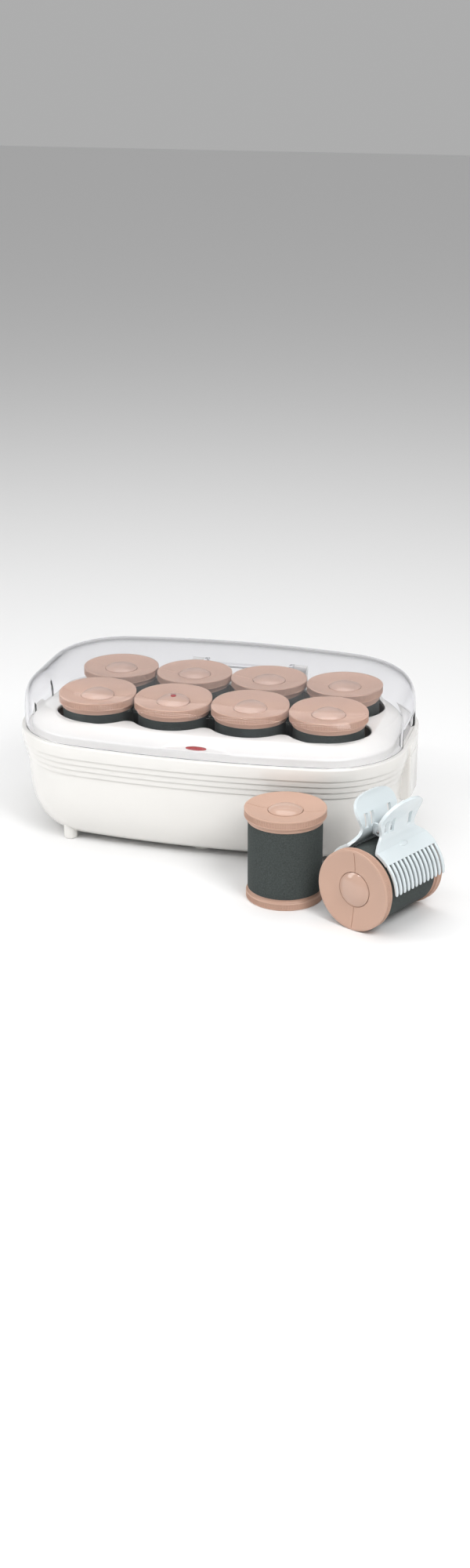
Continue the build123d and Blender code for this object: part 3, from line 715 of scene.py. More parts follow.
def row_repeat() -> Repeat:
    """A tree that sets copies of the given mesh in a row along X, about the origin."""
    tree = Repeat("row_of_copies", {"Count": ("NodeSocketInt", 8),
                                    "Pitch": ("NodeSocketFloat", 0.01)})
    graph, given = tree.graph, tree.given
    last = graph.node("ShaderNodeMath", {"operation": "SUBTRACT"}, {0: given["Count"], 1: 1.0})
    span = graph.node("ShaderNodeMath", {"operation": "MULTIPLY"},
                      {0: last.outputs[0], 1: given["Pitch"]})
    start = graph.node("ShaderNodeMath", {"operation": "MULTIPLY"}, {0: span.outputs[0], 1: -0.5})
    begin = graph.node("ShaderNodeCombineXYZ", sockets={"X": start.outputs[0]})
    step = graph.node("ShaderNodeCombineXYZ", sockets={"X": given["Pitch"]})
    line = graph.node("GeometryNodeMeshLine", sockets={
        "Count": given["Count"], "Start Location": begin.outputs[0], "Offset": step.outputs[0]})
    copies = graph.node("GeometryNodeInstanceOnPoints", sockets={
        "Points": line.outputs[0], "Instance": given["Geometry"]})
    tree.close(copies.outputs[0])
    return tree


def coil_repeat() -> Repeat:
    """A tree that winds a wire into a coil along Z."""
    tree = Repeat("wound_wire", {
        "Turns": ("NodeSocketFloat", 5.0), "Coil Radius": ("NodeSocketFloat", 0.0026),
        "Wire Radius": ("NodeSocketFloat", 0.00045), "Length": ("NodeSocketFloat", 0.0055)})
    graph, given = tree.graph, tree.given
    spiral = graph.node("GeometryNodeCurveSpiral", sockets={
        "Resolution": 28, "Rotations": given["Turns"], "Start Radius": given["Coil Radius"],
        "End Radius": given["Coil Radius"], "Height": given["Length"]})
    wire = graph.node("GeometryNodeCurvePrimitiveCircle", sockets={
        "Resolution": 10, "Radius": given["Wire Radius"]})
    solid = graph.node("GeometryNodeCurveToMesh", sockets={
        "Curve": spiral.outputs[0], "Profile Curve": wire.outputs[0], "Fill Caps": True})
    tree.close(solid.outputs[0])
    return tree


# ---------------------------------------------------------------- places shared by the pieces

CASE_Y = -0.0048
HALF_LENGTH = 0.1397
HALF_DEPTH = 0.0835
FRONT_BOW = 0.700
END_BOW = 1.500
CORNER = 0.057
RIM = 0.0788
PITCH = 0.057
WELL = 0.030
CUSP = 0.0075
COLUMNS = (-0.0855, -0.0285, 0.0285, 0.0855)
ROWS = {"front": -0.0285, "back": 0.0285}
ROLLER_FLOOR = 0.037
DECK_SEAT = 0.0762
LYING_MOUNT = 0.0286    # from the lying roller's base to the mount in its bore
STATIONS = (40, 44, 120)
HINGE_Y = 0.0845
HINGE_Z = 0.0915


def grid_origin() -> Vector:
    """Middle of the grid of rollers, on the table."""
    low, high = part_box("deck")
    return Vector(((low.x + high.x) / 2, (low.y + high.y) / 2 - CASE_Y, 0.0))


GRID = Matrix.Translation(grid_origin())


def place_of(name: str) -> tuple[Vector, Vector]:
    """Point and axis of a mount in the record."""
    mount = next(m for m in frame["record"]["mounts"] if m["name"] == name)
    return Vector(mount["pos_m"]), Vector(mount["axis"])


class Plan:
    """Stations round the case that all its outlines share.

    A station has an arc centre, a radius, a direction, the side it is on (0 end, 1 corner,
    2 front or back), a share of the way along that side, and the signs of its quarter.
    """

    def __init__(self) -> None:
        """Works out one quarter and turns it into the other three."""
        centre = self._corner_centre()
        first = math.asin(centre[1] / (END_BOW - CORNER))
        last = math.pi / 2 - math.asin(centre[0] / (FRONT_BOW - CORNER))
        sides = (((HALF_LENGTH - END_BOW, 0.0), END_BOW, 0.0, first),
                 (centre, CORNER, first, last),
                 ((0.0, HALF_DEPTH - FRONT_BOW), FRONT_BOW, last, math.pi / 2))
        rows = []
        for side, (middle, radius, start, end) in enumerate(sides):
            for share in np.linspace(0, 1, STATIONS[side] + 1)[: -1 if side < 2 else None]:
                angle = start + (end - start) * share
                rows.append((*middle, radius, math.cos(angle), math.sin(angle), side, share))
        quarter = np.array(rows)
        ahead, back = quarter[:-1], quarter[:0:-1]
        quarters = ((ahead, 1, 1), (back, -1, 1), (ahead, -1, -1), (back, 1, -1))
        self.rows = np.vstack([part for part, _, _ in quarters])
        self.sign = np.vstack([np.tile((sx, sy), (len(part), 1)) for part, sx, sy in quarters])

    @staticmethod
    def _corner_centre() -> Pair:
        """Centre of the corner arc that runs into both bows."""
        far_x, far_y = HALF_LENGTH - END_BOW, HALF_DEPTH - FRONT_BOW
        long, end = FRONT_BOW - CORNER, END_BOW - CORNER
        span = math.hypot(far_x, far_y)
        along = (long**2 - end**2 + span**2) / (2 * span)
        across = math.sqrt(long**2 - along**2)
        ux, uy = far_x / span, -far_y / span
        return max((along * ux + s * across * uy, far_y + along * uy - s * across * ux)
                   for s in (1, -1))

    def ring(self, x: np.ndarray, y: np.ndarray, z: float, shift: float = 0.0) -> np.ndarray:
        """A ring from its first-quarter coordinates, at height z and moved back by shift."""
        flat = np.column_stack([x, y]) * self.sign
        return np.column_stack([flat[:, 0], flat[:, 1] + shift, np.full(len(flat), z)])

    def outline(self, out: float, z: float, shift: float = 0.0) -> np.ndarray:
        """The plan grown by out."""
        reach = self.rows[:, 2] + out
        x = self.rows[:, 0] + reach * self.rows[:, 3]
        y = self.rows[:, 1] + reach * self.rows[:, 4]
        return self.ring(x, y, z, CASE_Y + shift)

    def rectangle(self, half_x: float, half_y: float, corner: float, z: float) -> np.ndarray:
        """A rounded rectangle in the middle of the case."""
        side, share = self.rows[:, 5], self.rows[:, 6]
        angle = share * math.pi / 2
        flat_x, flat_y = half_x - corner, half_y - corner
        x = np.select([side == 0, side == 1], [np.full_like(share, half_x),
                      flat_x + corner * np.cos(angle)], flat_x * (1 - share))
        y = np.select([side == 0, side == 1], [flat_y * share,
                      flat_y + corner * np.sin(angle)], half_y)
        return self.ring(x, y, z, CASE_Y)

    def wells(self, grow: float, z: float) -> np.ndarray:
        """The scalloped opening round the wells, grown by grow."""
        side, share = self.rows[:, 5], self.rows[:, 6]
        angle = share * math.pi / 2
        column, row = COLUMNS[-1], ROWS["back"]
        along_x, along_y = column * (1 - share), row * share
        x = np.select([side == 0, side == 1], [column + self._lobes(along_y, grow),
                      column + (WELL + grow) * np.cos(angle)], along_x)
        y = np.select([side == 0, side == 1], [along_y, row + (WELL + grow) * np.sin(angle)],
                      row + self._lobes(along_x, grow))
        return self.ring(x, y, z)

    @staticmethod
    def _lobes(along: np.ndarray, grow: float) -> np.ndarray:
        """How far the opening reaches past a line of well centres, at places along it."""
        off = np.abs(along - PITCH * np.round(along / PITCH))
        lobe, cusp = WELL + grow, CUSP - grow
        centre = math.sqrt((WELL + CUSP) ** 2 - (PITCH / 2) ** 2)
        meet = cusp * (PITCH / 2) / (WELL + CUSP)
        near = centre - np.sqrt(np.maximum(cusp**2 - off**2, 0))
        return np.where(off < meet, near, np.sqrt(lobe**2 - (PITCH / 2 - off) ** 2))


def curve_in(run: float, rise: float, power: float, count: int) -> np.ndarray:
    """Points of a side that curves in by run as it goes rise up, evenly spaced along it.

    Args:
        run: How far in it ends.
        rise: How high it ends.
        power: The superellipse's power.
        count: Number of points.

    Returns:
        Rows of inward and up.
    """
    angle = np.linspace(0, math.pi / 2, 2000)
    inward = run * (1 - np.maximum(np.cos(angle), 0) ** (2 / power))
    up = rise * np.sin(angle) ** (2 / power)
    gone = np.concatenate([[0], np.cumsum(np.hypot(np.diff(inward), np.diff(up)))])
    even = np.linspace(0, gone[-1], count)
    return np.column_stack([np.interp(even, gone, inward), np.interp(even, gone, up)])


# ---------------------------------------------------------------- the case

@dataclass
class Case:
    """The white housing with its stepped band, deck, lens, end panels and small hardware."""

    plan: Plan
    band_out: float = 0.0025
    band_low: float = 0.0701
    step_in: float = 0.001175
    step_height: float = 0.00457
    steps: int = 3
    tub_out: float = -0.0022
    tub_top: float = 0.0613
    tub_bottom: float = 0.0011
    tub_run: float = 0.0406
    tub_power: float = 3.0
    wall: float = 0.0025
    floor: float = 0.0045
    hatch: Point = (0.07915, 0.03215, 0.01015)
    hatch_mouth: Point = (0.075, 0.0264, 0.010)
    hatch_depth: float = 0.0025
    boss_at: Pair = (0.084, 0.026)
    boss_radius: float = 0.005
    boss_neck: float = 0.0035
    boss_shoulder: float = 0.0227
    boss_top: float = 0.0307
    seat_in: float = -0.0015
    flange: float = 0.0785
    deck_edge: float = -0.0061
    deck_edge_shift: float = -0.0023
    deck_edge_z: float = 0.0840
    crown: float = -0.0225
    crown_shift: float = 0.00315
    crown_z: float = 0.0885
    deck_wall: float = 0.0023
    curl: float = 0.0012
    scoop: Point = (0.002, -0.1072, 0.0356)
    scoop_floor: float = 0.0842
    scoop_wall: float = 0.0022
    scoop_soft: float = 0.0026
    scoop_reach: float = 0.0795
    lens_centre: Pair = (0.002, -0.0785)
    lens_half: Pair = (0.0075, 0.00325)
    panel_half: float = 0.015
    panel_out: float = 0.0041
    panel_low: float = 0.036

    def build(self) -> None:
        """Makes every piece of the case."""
        piece("case_housing", self.housing_shape(), Finish.WHITE_CASE, "case", ["housing"])
        piece("case_deck", self.deck_shape(), Finish.WHITE_CASE, "case", ["deck"])
        piece("indicator_window", self.lens_shape(), Finish.RED_LENS, "case", ["indicator_lens"])
        panels = self.panel_shape(1).join(self.panel_shape(-1))
        piece("case_end_panels", panels, Finish.WHITE_CASE, "case", ["end_panels"])
        soft = (("hinge_brackets", Finish.WHITE_CASE, 0.0005), ("feet", Finish.WHITE_CASE, 0.0006),
                ("front_nub", Finish.WHITE_CASE, 0.0008), ("cord_gland", Finish.GREY, 0.0005),
                ("base_plate", Finish.WHITE_CASE, 0.0004), ("base_screws", Finish.STEEL, 0.0002))
        for node, finish, width in soft:
            self.softened(node, finish, width)

    def housing_shape(self) -> Shape:
        """Outside and inside of the housing, from the deck's seat round to it again."""
        outline = self.plan.outline
        sides = [(-0.0003, DECK_SEAT), (-0.0003, RIM - 0.0002), (-0.0001, RIM),
                 (self.band_out - 0.0010, RIM), (self.band_out - 0.0004, RIM - 0.00015),
                 (self.band_out - 0.0001, RIM - 0.0005), (self.band_out, RIM - 0.0010),
                 (self.band_out, self.band_low + 0.0005),
                 (self.band_out - 0.0001, self.band_low + 0.00012),
                 (self.band_out - 0.0004, self.band_low)]
        for k in range(self.steps):
            face = self.band_out - (k + 1) * self.step_in
            high = self.band_low - k * self.step_height
            low = high - self.step_height
            sides += [(face + 0.0002, high), (face, high - 0.0002), (face, low + 0.0004),
                      (face - 0.0001, low + 0.0001), (face - 0.0004, low)]
        low = self.band_low - self.steps * self.step_height
        sides += [(self.tub_out + 0.0002, low), (self.tub_out, low - 0.0002)]
        rise = self.tub_top - self.tub_bottom
        sides += self._bowl(self.tub_out, rise, low - 0.0008)
        rings = [outline(out, z) for out, z in sides]
        hatch_top = self.tub_bottom + self.hatch_depth
        floor_top = self.tub_bottom + self.floor
        rings += [self.plan.rectangle(*self.hatch, z) for z in (self.tub_bottom, hatch_top)]
        rings += [self.plan.rectangle(*self.hatch_mouth, z) for z in (hatch_top, floor_top)]
        inside = self._bowl(self.tub_out - self.wall, rise - self.floor, low)[::-1]
        waist = self.band_out - self.steps * self.step_in - self.wall
        inside += [(waist, low), (waist, self.band_low), (self.seat_in, self.band_low),
                   (self.seat_in, DECK_SEAT)]
        rings += [outline(out, z) for out, z in inside]
        shell = loft(rings, wrapped=True)
        root = floor_top - 0.001
        boss = lathe([(0, root), (self.boss_radius, root), (self.boss_radius, self.boss_shoulder),
                      (self.boss_neck, self.boss_shoulder), (self.boss_neck, self.boss_top),
                      (0, self.boss_top)], 32)
        x, y = self.boss_at
        for sx, sy in ((-1, -1), (-1, 1), (1, -1), (1, 1)):
            shell.join(boss.placed(Matrix.Translation((sx * x, CASE_Y + sy * y, 0))))
        return shell

    def _bowl(self, out: float, rise: float, below: float) -> list[Pair]:
        """The tub's side under a height, downwards."""
        sides = curve_in(self.tub_run, rise, self.tub_power, 36)
        return [(out - inward, self.tub_top - up) for inward, up in sides
                if self.tub_top - up < below]

    def deck_shape(self) -> Shape:
        """The deck: flange, raised flank, sloping top with its scoop, and scalloped opening."""
        outline, wells = self.plan.outline, self.plan.wells
        edge, shift, top = self.deck_edge, self.deck_edge_shift, self.deck_edge_z
        flange = self.flange
        sides = [(-0.0006, DECK_SEAT, 0), (-0.0006, flange - 0.0003, 0), (-0.0009, flange, 0),
                 (edge + 0.0008, flange, shift), (edge + 0.0002, flange + 0.0002, shift),
                 (edge, flange + 0.0008, shift), (edge, top - 0.0012, shift),
                 (edge - 0.0001, top - 0.0006, shift), (edge - 0.0005, top - 0.0001, shift)]
        rings = [outline(*side) for side in sides]
        for share in np.linspace(0.06, 1.0, 26):
            out = edge + (self.crown - edge) * share
            z = top + (self.crown_z - top) * (share - 0.5 * max(share - 0.9, 0) ** 2 / 0.1)
            rings.append(outline(out, z, shift + (self.crown_shift - shift) * share))
        upper = self.crown_z - 0.0002
        curl = self.curl
        for angle in np.radians(np.linspace(0, 90, 6)):
            rings.append(wells(curl * (1 - math.sin(angle)),
                               upper - curl * (1 - math.cos(angle))))
        under = self.crown_z - self.deck_wall
        rings.append(wells(0, under))
        rings.append(outline(self.crown, under, self.crown_shift))
        inner = edge - self.deck_wall
        rings.append(outline(inner, top - self.deck_wall, shift))
        rings.append(outline(inner, DECK_SEAT, shift))
        shape = loft(rings, wrapped=True)
        self._sink(shape.points, self.scoop_floor)
        return shape

    def _sink(self, points: np.ndarray, floor: float) -> None:
        """Lowers the deck's top inside the scoop, and its underside by as much as it needs."""
        x, y, radius = self.scoop
        away = np.hypot(points[:, 0] - x, points[:, 1] - y)
        share = smoothstep((radius - away) / self.scoop_soft)
        under = points[:, 2] < self.crown_z - self.deck_wall + 0.00001
        above = points[:, 2] > self.deck_edge_z - 0.0003
        low = np.where(under & ~above, floor - self.scoop_wall, floor)
        sunk = np.minimum(points[:, 2], low)
        reached = points[:, 2] > self.scoop_reach
        points[:, 2] = np.where(reached, points[:, 2] * (1 - share) + sunk * share, points[:, 2])

    def lens_shape(self) -> Shape:
        """An oval lens with a low dome."""
        steps = [(1.0, -0.0016), (1.0, 0.0003), (0.97, 0.00055), (0.9, 0.00075), (0.75, 0.0009),
                 (0.5, 0.0010), (0.25, 0.00105), (0.0, 0.00107)]
        sides = 64
        angle = np.linspace(0, 2 * math.pi, sides, endpoint=False)
        x, y = self.lens_centre
        rings = []
        for share, rise in [(0.0, -0.0016)] + steps:
            rings.append(np.column_stack([x + share * self.lens_half[0] * np.cos(angle),
                                          y + share * self.lens_half[1] * np.sin(angle),
                                          np.full(sides, self.scoop_floor + rise)]))
        return loft(rings)

    def panel_shape(self, side: int) -> Shape:
        """A panel on one end, with a break line level with the band's lower edge."""
        rings = []
        for y, drop in ((-1.0, 0.0011), (-0.99, 0.0005), (-0.96, 0.0001), (-0.92, 0.0),
                        (0.92, 0.0), (0.96, 0.0001), (0.99, 0.0005), (1.0, 0.0011)):
            out = HALF_LENGTH + self.panel_out - drop
            high, low = RIM - 0.0003, self.panel_low + drop
            cut = self.band_low
            section = [(HALF_LENGTH + 0.0008, high), (out - 0.0008, high),
                       (out - 0.0002, high - 0.0003), (out, high - 0.0009),
                       (out, cut + 0.0004), (out - 0.0007, cut + 0.0001),
                       (out - 0.0007, cut - 0.0001), (out, cut - 0.0004),
                       (out, low + 0.0012), (out - 0.0003, low + 0.0004),
                       (out - 0.0010, low), (HALF_LENGTH - 0.0036, low),
                       (HALF_LENGTH - 0.0036, 0.056), (HALF_LENGTH - 0.0020, 0.062),
                       (HALF_LENGTH + 0.0008, 0.072)]
            x, z = np.array(section).T
            depth = np.full(len(x), CASE_Y + y * self.panel_half)
            rings.append(np.column_stack([side * x, depth, z]))
        return loft(rings, lids=True)

    def softened(self, node: str, finish: Finish, width: float) -> bpy.types.Object:
        """A CAD node's copy with its edges rounded.

        Args:
            node: The node.
            finish: Its finish.
            width: Width of the rounding.

        Returns:
            The piece.
        """
        mesh = frame["nodes"][node].data.copy()
        mesh.name = f"soft_{node}"
        edit = bmesh.new()
        edit.from_mesh(mesh)
        bmesh.ops.remove_doubles(edit, verts=edit.verts, dist=0.00001)
        bmesh.ops.dissolve_limit(edit, angle_limit=math.radians(1.5), verts=edit.verts,
                                 edges=edit.edges, delimit=set())
        edit.to_mesh(mesh)
        edit.free()
        made = new_object(mesh.name, mesh)
        round_edges(made, width, 2, 40.0)
        smooth(made.data, 35.0)
        return fix(made, finish, "case", [node])


# ---------------------------------------------------------------- the lid

@dataclass
class Lid:
    """The clear lid with its finger pockets and hinge ears."""

    plan: Plan
    low: float = 0.0791
    rise: float = 0.0377
    run: float = 0.043
    power: float = 4.5
    wall: float = 0.0022
    crown: float = 0.06
    pocket_half: float = 0.024
    pocket_height: float = 0.012
    pocket_depth: float = 0.0022
    pocket_soft: float = 0.005
    end_from: float = 0.12
    ear_x: float = 0.0335
    ear_half: float = 0.0012
    brace: Pair = (0.0768, 0.0825)
    brace_half: float = 0.0012

    def build(self) -> None:
        """Makes the lid as one clear piece."""
        shape = self.shell()
        for side in (-1, 1):
            shape.join(self.ear(side * self.ear_x))
        inner = self.ear_x - self.ear_half + 0.0005
        shape.join(block((-inner, self.brace[0], HINGE_Z - self.brace_half),
                         (inner, self.brace[1], HINGE_Z + self.brace_half)))
        piece("lid_shell", shape, Finish.CLEAR_LID, "lid", ["lid"])

    def shell(self) -> Shape:
        """Outer skin from its ridge down, over the rim, and the inner skin up again."""
        outer = self._skin(0.0, self.rise)
        inner = self._skin(-self.wall, self.rise - self.wall)
        edge = [(-0.00005, 0.00025), (-0.00025, 0.00005), (-0.0006, 0.0), (-0.0016, 0.0),
                (-0.00195, 0.00005), (-0.00215, 0.00025)]
        rim = [self.plan.outline(out, z) for out, z in edge]
        rings = outer[::-1] + rim + inner
        for ring in rings:
            self._shape_up(ring)
        return loft(rings)

    def _skin(self, out: float, rise: float) -> Rings:
        """One skin from just over the rim up to the ridge that its top closes on."""
        rings = [self.plan.outline(out - inward, up)
                 for inward, up in curve_in(self.run, rise, self.power, 40) if up > 0.0004]
        last = rings[-1]
        reach = HALF_LENGTH - HALF_DEPTH
        ridge = last.copy()
        ridge[:, 0] = np.clip(last[:, 0], -reach, reach)
        ridge[:, 1] = CASE_Y
        return rings + [last + (ridge - last) * share for share in (0.25, 0.5, 0.75, 1.0)]

    def _shape_up(self, ring: np.ndarray) -> None:
        """Crowns a ring, presses the finger pockets in, and lifts it to its height."""
        across = smoothstep((self.pocket_half - np.abs(ring[:, 1] - CASE_Y)) / self.pocket_soft)
        up = smoothstep((self.pocket_height - ring[:, 2]) / self.pocket_soft)
        ends = np.abs(ring[:, 0]) > self.end_from
        ring[:, 2] *= 1 + self.crown * (1 - (ring[:, 0] / HALF_LENGTH) ** 2)
        ring[:, 0] -= np.sign(ring[:, 0]) * self.pocket_depth * across * up * ends
        ring[:, 2] += self.low

    def ear(self, x: float) -> Shape:
        """One hinge ear."""
        plate = eye_plate(0.0078, 0.0045, 0.0032, 0.00135, -self.ear_half, self.ear_half)
        return plate.placed(axes(Vector((x, HINGE_Y, HINGE_Z)), Vector((0, 1, 0)),
                                 Vector((0, 0, 1)), Vector((1, 0, 0))))


# ---------------------------------------------------------------- rollers

@dataclass
class Roller:
    """One flocked roller: cap with its dome, sleeve, core and base ring, standing at z = 0."""

    ribs: Repeat
    length: float = 0.065
    cap_radius: float = 0.028
    cap_rim: float = 0.0058
    cap_neck: float = 0.026
    rim_land: float = 0.0015
    dish: float = 0.002
    dome: float = 0.0118
    dome_peak: float = 0.0012
    sleeve: float = 0.02545
    sleeve_wall: float = 0.0023
    sleeve_low: float = 0.0075
    sleeve_high: float = 0.056
    ring_radius: float = 0.0266
    ring_neck: float = 0.0246
    ring_height: float = 0.0051
    core: float = 0.017
    core_wall: float = 0.0016
    rib_root: float = 0.00035
    rib_count: int = 156
    lip: float = 0.0009
    seam: float = 0.0003
    seam_depth: float = 0.0004
    dot_hole: float = 0.00205

    def cap_shape(self) -> Shape:
        """The cap, with a straight seam across its dish."""
        low = self.length - self.cap_rim
        rim = self.cap_radius - self.rim_land
        dish = self.length - self.dish
        socket = self.dome + 0.00025
        root = self.cap_radius - self.rib_root
        spigot = self.sleeve - self.sleeve_wall - 0.00015
        top = [(self.cap_radius, self.length - self.lip), (self.cap_radius, self.length - 0.0004),
               (self.cap_radius - 0.0001, self.length - 0.00012),
               (self.cap_radius - 0.0004, self.length), (rim + 0.00015, self.length)]
        groove = [(rim - 0.0003 * k, self.length - 0.00004 * k) for k in (0, 1)]
        steps = np.linspace(0.05, 1.0, 14)
        slope = [(rim + (socket + 0.0003 - rim) * s,
                  self.length - self.dish * math.sin(s * math.pi / 2)) for s in steps]
        well = [(socket, dish - 0.0003), (socket, dish - 0.0024), (0, dish - 0.0024)]
        under = [(0, self.sleeve_high), (spigot - 0.002, self.sleeve_high),
                 (spigot - 0.002, self.sleeve_high - 0.004),
                 (spigot, self.sleeve_high - 0.004), (spigot, self.sleeve_high),
                 (self.cap_neck - 0.0003, self.sleeve_high),
                 (self.cap_neck, self.sleeve_high + 0.0003),
                 (self.cap_neck, low - 0.0006), (self.cap_neck + 0.0006, low),
                 (self.cap_radius - 0.0004, low), (self.cap_radius, low + 0.0004),
                 (self.cap_radius, low + self.lip), (root, low + self.lip + 0.0002),
                 (root, self.length - self.lip - 0.0002)]
        seamed = groove + slope
        return loft([self._seamed_ring(radius, z, (radius, z) in seamed)
                     for radius, z in under + top + seamed + well])

    def _seamed_ring(self, radius: float, z: float, cut: bool) -> np.ndarray:
        """A ring whose columns keep the same distance from the seam at every radius."""
        reach = max(radius, self.dome)
        beside = np.array([-3.0, -1.5, -1.0, -0.45, 0.45, 1.0, 1.5, 3.0]) * self.seam
        near = np.arcsin(beside / reach)
        rest = np.linspace(near[-1], math.pi - near[-1], 74)[1:-1]
        half = np.concatenate([near, rest])
        angle = np.concatenate([half, half + math.pi])
        depth = np.concatenate([np.array([0, 0, 0, 1.0, 1.0, 0, 0, 0]), np.zeros(len(rest))])
        sink = np.tile(depth, 2) * (self.seam_depth if cut else 0.0)
        return np.column_stack([radius * np.cos(angle), radius * np.sin(angle), z - sink])

    def dome_shape(self, hollow: float = 0.0) -> Shape:
        """The glossy dome in the middle of the cap.

        Args:
            hollow: Radius of the hole for the dot, or 0.

        Returns:
            The shape.
        """
        edge = self.length - self.dish + 0.0001
        rise = self.length + self.dome_peak - edge
        base = self.length - self.dish - 0.0023
        shares = [s for s in np.linspace(1, 0, 24) if s * self.dome >= hollow]
        skin = [(self.dome * s, edge + rise * (1 - s**2.3) ** 0.85) for s in shares]
        skin = [(self.dome, base), (self.dome, edge - 0.0002)] + skin
        if hollow:
            return lathe(skin + [(hollow, skin[-1][1]), (hollow, base)], 96, True)
        return lathe([(0.0, base)] + skin, 96)

    def sleeve_shape(self) -> Shape:
        """The flocked sleeve."""
        r, w, low, high = self.sleeve, self.sleeve_wall, self.sleeve_low, self.sleeve_high
        turn = [(r - w, low), (r - 0.0004, low), (r - 0.0001, low + 0.0001), (r, low + 0.0004)]
        turn += [(r, low + (high - low) * k / 8) for k in range(1, 8)]
        turn += [(r, high - 0.0004), (r - 0.0001, high - 0.0001), (r - 0.0004, high),
                 (r - w, high)]
        return lathe(turn, 128, True)

    def core_shape(self) -> Shape:
        """The tube down the middle."""
        r, w = self.core, self.core_wall
        return lathe([(r, 0.0021), (r + w, 0.0021), (r + w, self.sleeve_high),
                      (r, self.sleeve_high)], 96, True)

    def ring_shape(self) -> Shape:
        """The base ring, with a ribbed flange and a smooth neck."""
        r, neck, high = self.ring_radius, self.ring_neck, self.ring_height
        spigot, tall = self.sleeve - self.sleeve_wall - 0.00015, self.sleeve_low + 0.004
        socket = self.core + self.core_wall
        turn = [(self.core, 0), (r - 0.0008, 0), (r - 0.0002, 0.0002), (r, 0.0007),
                (r, self.lip), (r - self.rib_root, self.lip + 0.0002),
                (r - self.rib_root, high - self.lip - 0.0002), (r, high - self.lip),
                (r, high - 0.0004), (r - 0.0004, high), (neck + 0.0006, high),
                (neck, high + 0.0006), (neck, self.sleeve_low), (spigot, self.sleeve_low),
                (spigot, tall), (socket, tall), (socket, 0.0021), (self.core, 0.0021)]
        return lathe(turn, 128, True)

    def rib(self, radius: float, low: float, high: float) -> Shape:
        """One rib of a ribbed rim."""
        half = 0.00027
        root, tip = radius - self.rib_root - 0.0001, radius - 0.00003
        section = [(root, -half), (tip - 0.0001, -half * 0.75), (tip, -half * 0.3),
                   (tip, half * 0.3), (tip - 0.0001, half * 0.75), (root, half)]
        x, y = np.array(section).T
        return loft([np.column_stack([x, y, np.full(len(x), z)]) for z in (low, high)], lids=True)

    def ribbed(self, name: str, radius: float, low: float, high: float, body: str,
               place: Matrix) -> bpy.types.Object:
        """The ribs of a rim as one piece.

        Args:
            name: The piece's name.
            radius: The rim's radius.
            low: Lower end of the ribs.
            high: Upper end of the ribs.
            body: The body it rides on.
            place: Where the roller is.

        Returns:
            The piece.
        """
        start = self.rib(radius, low, high)
        made = self.ribs.make(name, start, {"Count": self.rib_count}, Finish.ROSE_SATIN)
        made.data.transform(place)
        return fix(made, Finish.ROSE_SATIN, body)

    def cap_and_sleeve(self, name: str, body: str, place: Matrix, nodes: Mapping[str, list[str]],
                       hollow: float = 0.0) -> None:
        """Makes what shows of every roller.

        Args:
            name: The roller's name.
            body: The body it rides on.
            place: Where it is.
            nodes: The CAD nodes that the cap, dome and sleeve stand for.
            hollow: Radius of the hole in the dome, or 0.
        """
        low = self.length - self.cap_rim + self.lip
        high = self.length - self.lip
        piece(f"{name}_end_cap", self.cap_shape(), Finish.ROSE_SATIN, body, nodes["cap"], place)
        piece(f"{name}_button", self.dome_shape(hollow), Finish.ROSE_GLOSS, body, nodes["dome"],
              place, crease=50)
        piece(f"{name}_flock", self.sleeve_shape(), Finish.FLOCK, body, nodes["sleeve"], place)
        self.ribbed(f"{name}_cap_ribs", self.cap_radius, low, high, body, place)

    def in_case(self) -> None:
        """Makes the eight rollers in the case, with the ready dot on one of them."""
        for row, y in ROWS.items():
            for k, x in enumerate(COLUMNS, start=1):
                name = f"{row}_roller_{k}"
                place = GRID @ Matrix.Translation((x, y, ROLLER_FLOOR))
                dotted = name == "front_roller_2"
                nodes = {"cap": [f"{name}_cap"], "dome": [], "sleeve": [f"{name}_sleeve"]}
                self.cap_and_sleeve(name, name, place, nodes,
                                    self.dot_hole if dotted else 0.0)
                if dotted:
                    piece("ready_spot", self.dot_shape(), Finish.RED_LENS, name, ["ready_dot"],
                          place)

    def dot_shape(self) -> Shape:
        """The red dot in a dome."""
        top = self.length + self.dome_peak + 0.0006
        return lathe([(0, top - 0.0024), (0.002, top - 0.0024), (0.002, top - 0.0005),
                      (0.0018, top - 0.0002), (0.0012, top - 0.00005), (0, top)], 32)

    def loose(self, name: str, place: Matrix) -> None:
        """Makes a loose roller with its core and base ring.

        Args:
            name: The roller's name, which is its body's too.
            place: Where it is.
        """
        nodes = {part: [f"{name}_{part}"] for part in ("cap", "dome", "sleeve")}
        self.cap_and_sleeve(name, name, place, nodes)
        piece(f"{name}_tube", self.core_shape(), Finish.CORE, name, [f"{name}_core"], place)
        piece(f"{name}_base", self.ring_shape(), Finish.ROSE_SATIN, name, [f"{name}_ring"], place)
        self.ribbed(f"{name}_base_ribs", self.ring_radius, self.lip,
                    self.ring_height - self.lip, name, place)


# ---------------------------------------------------------------- the claw clip

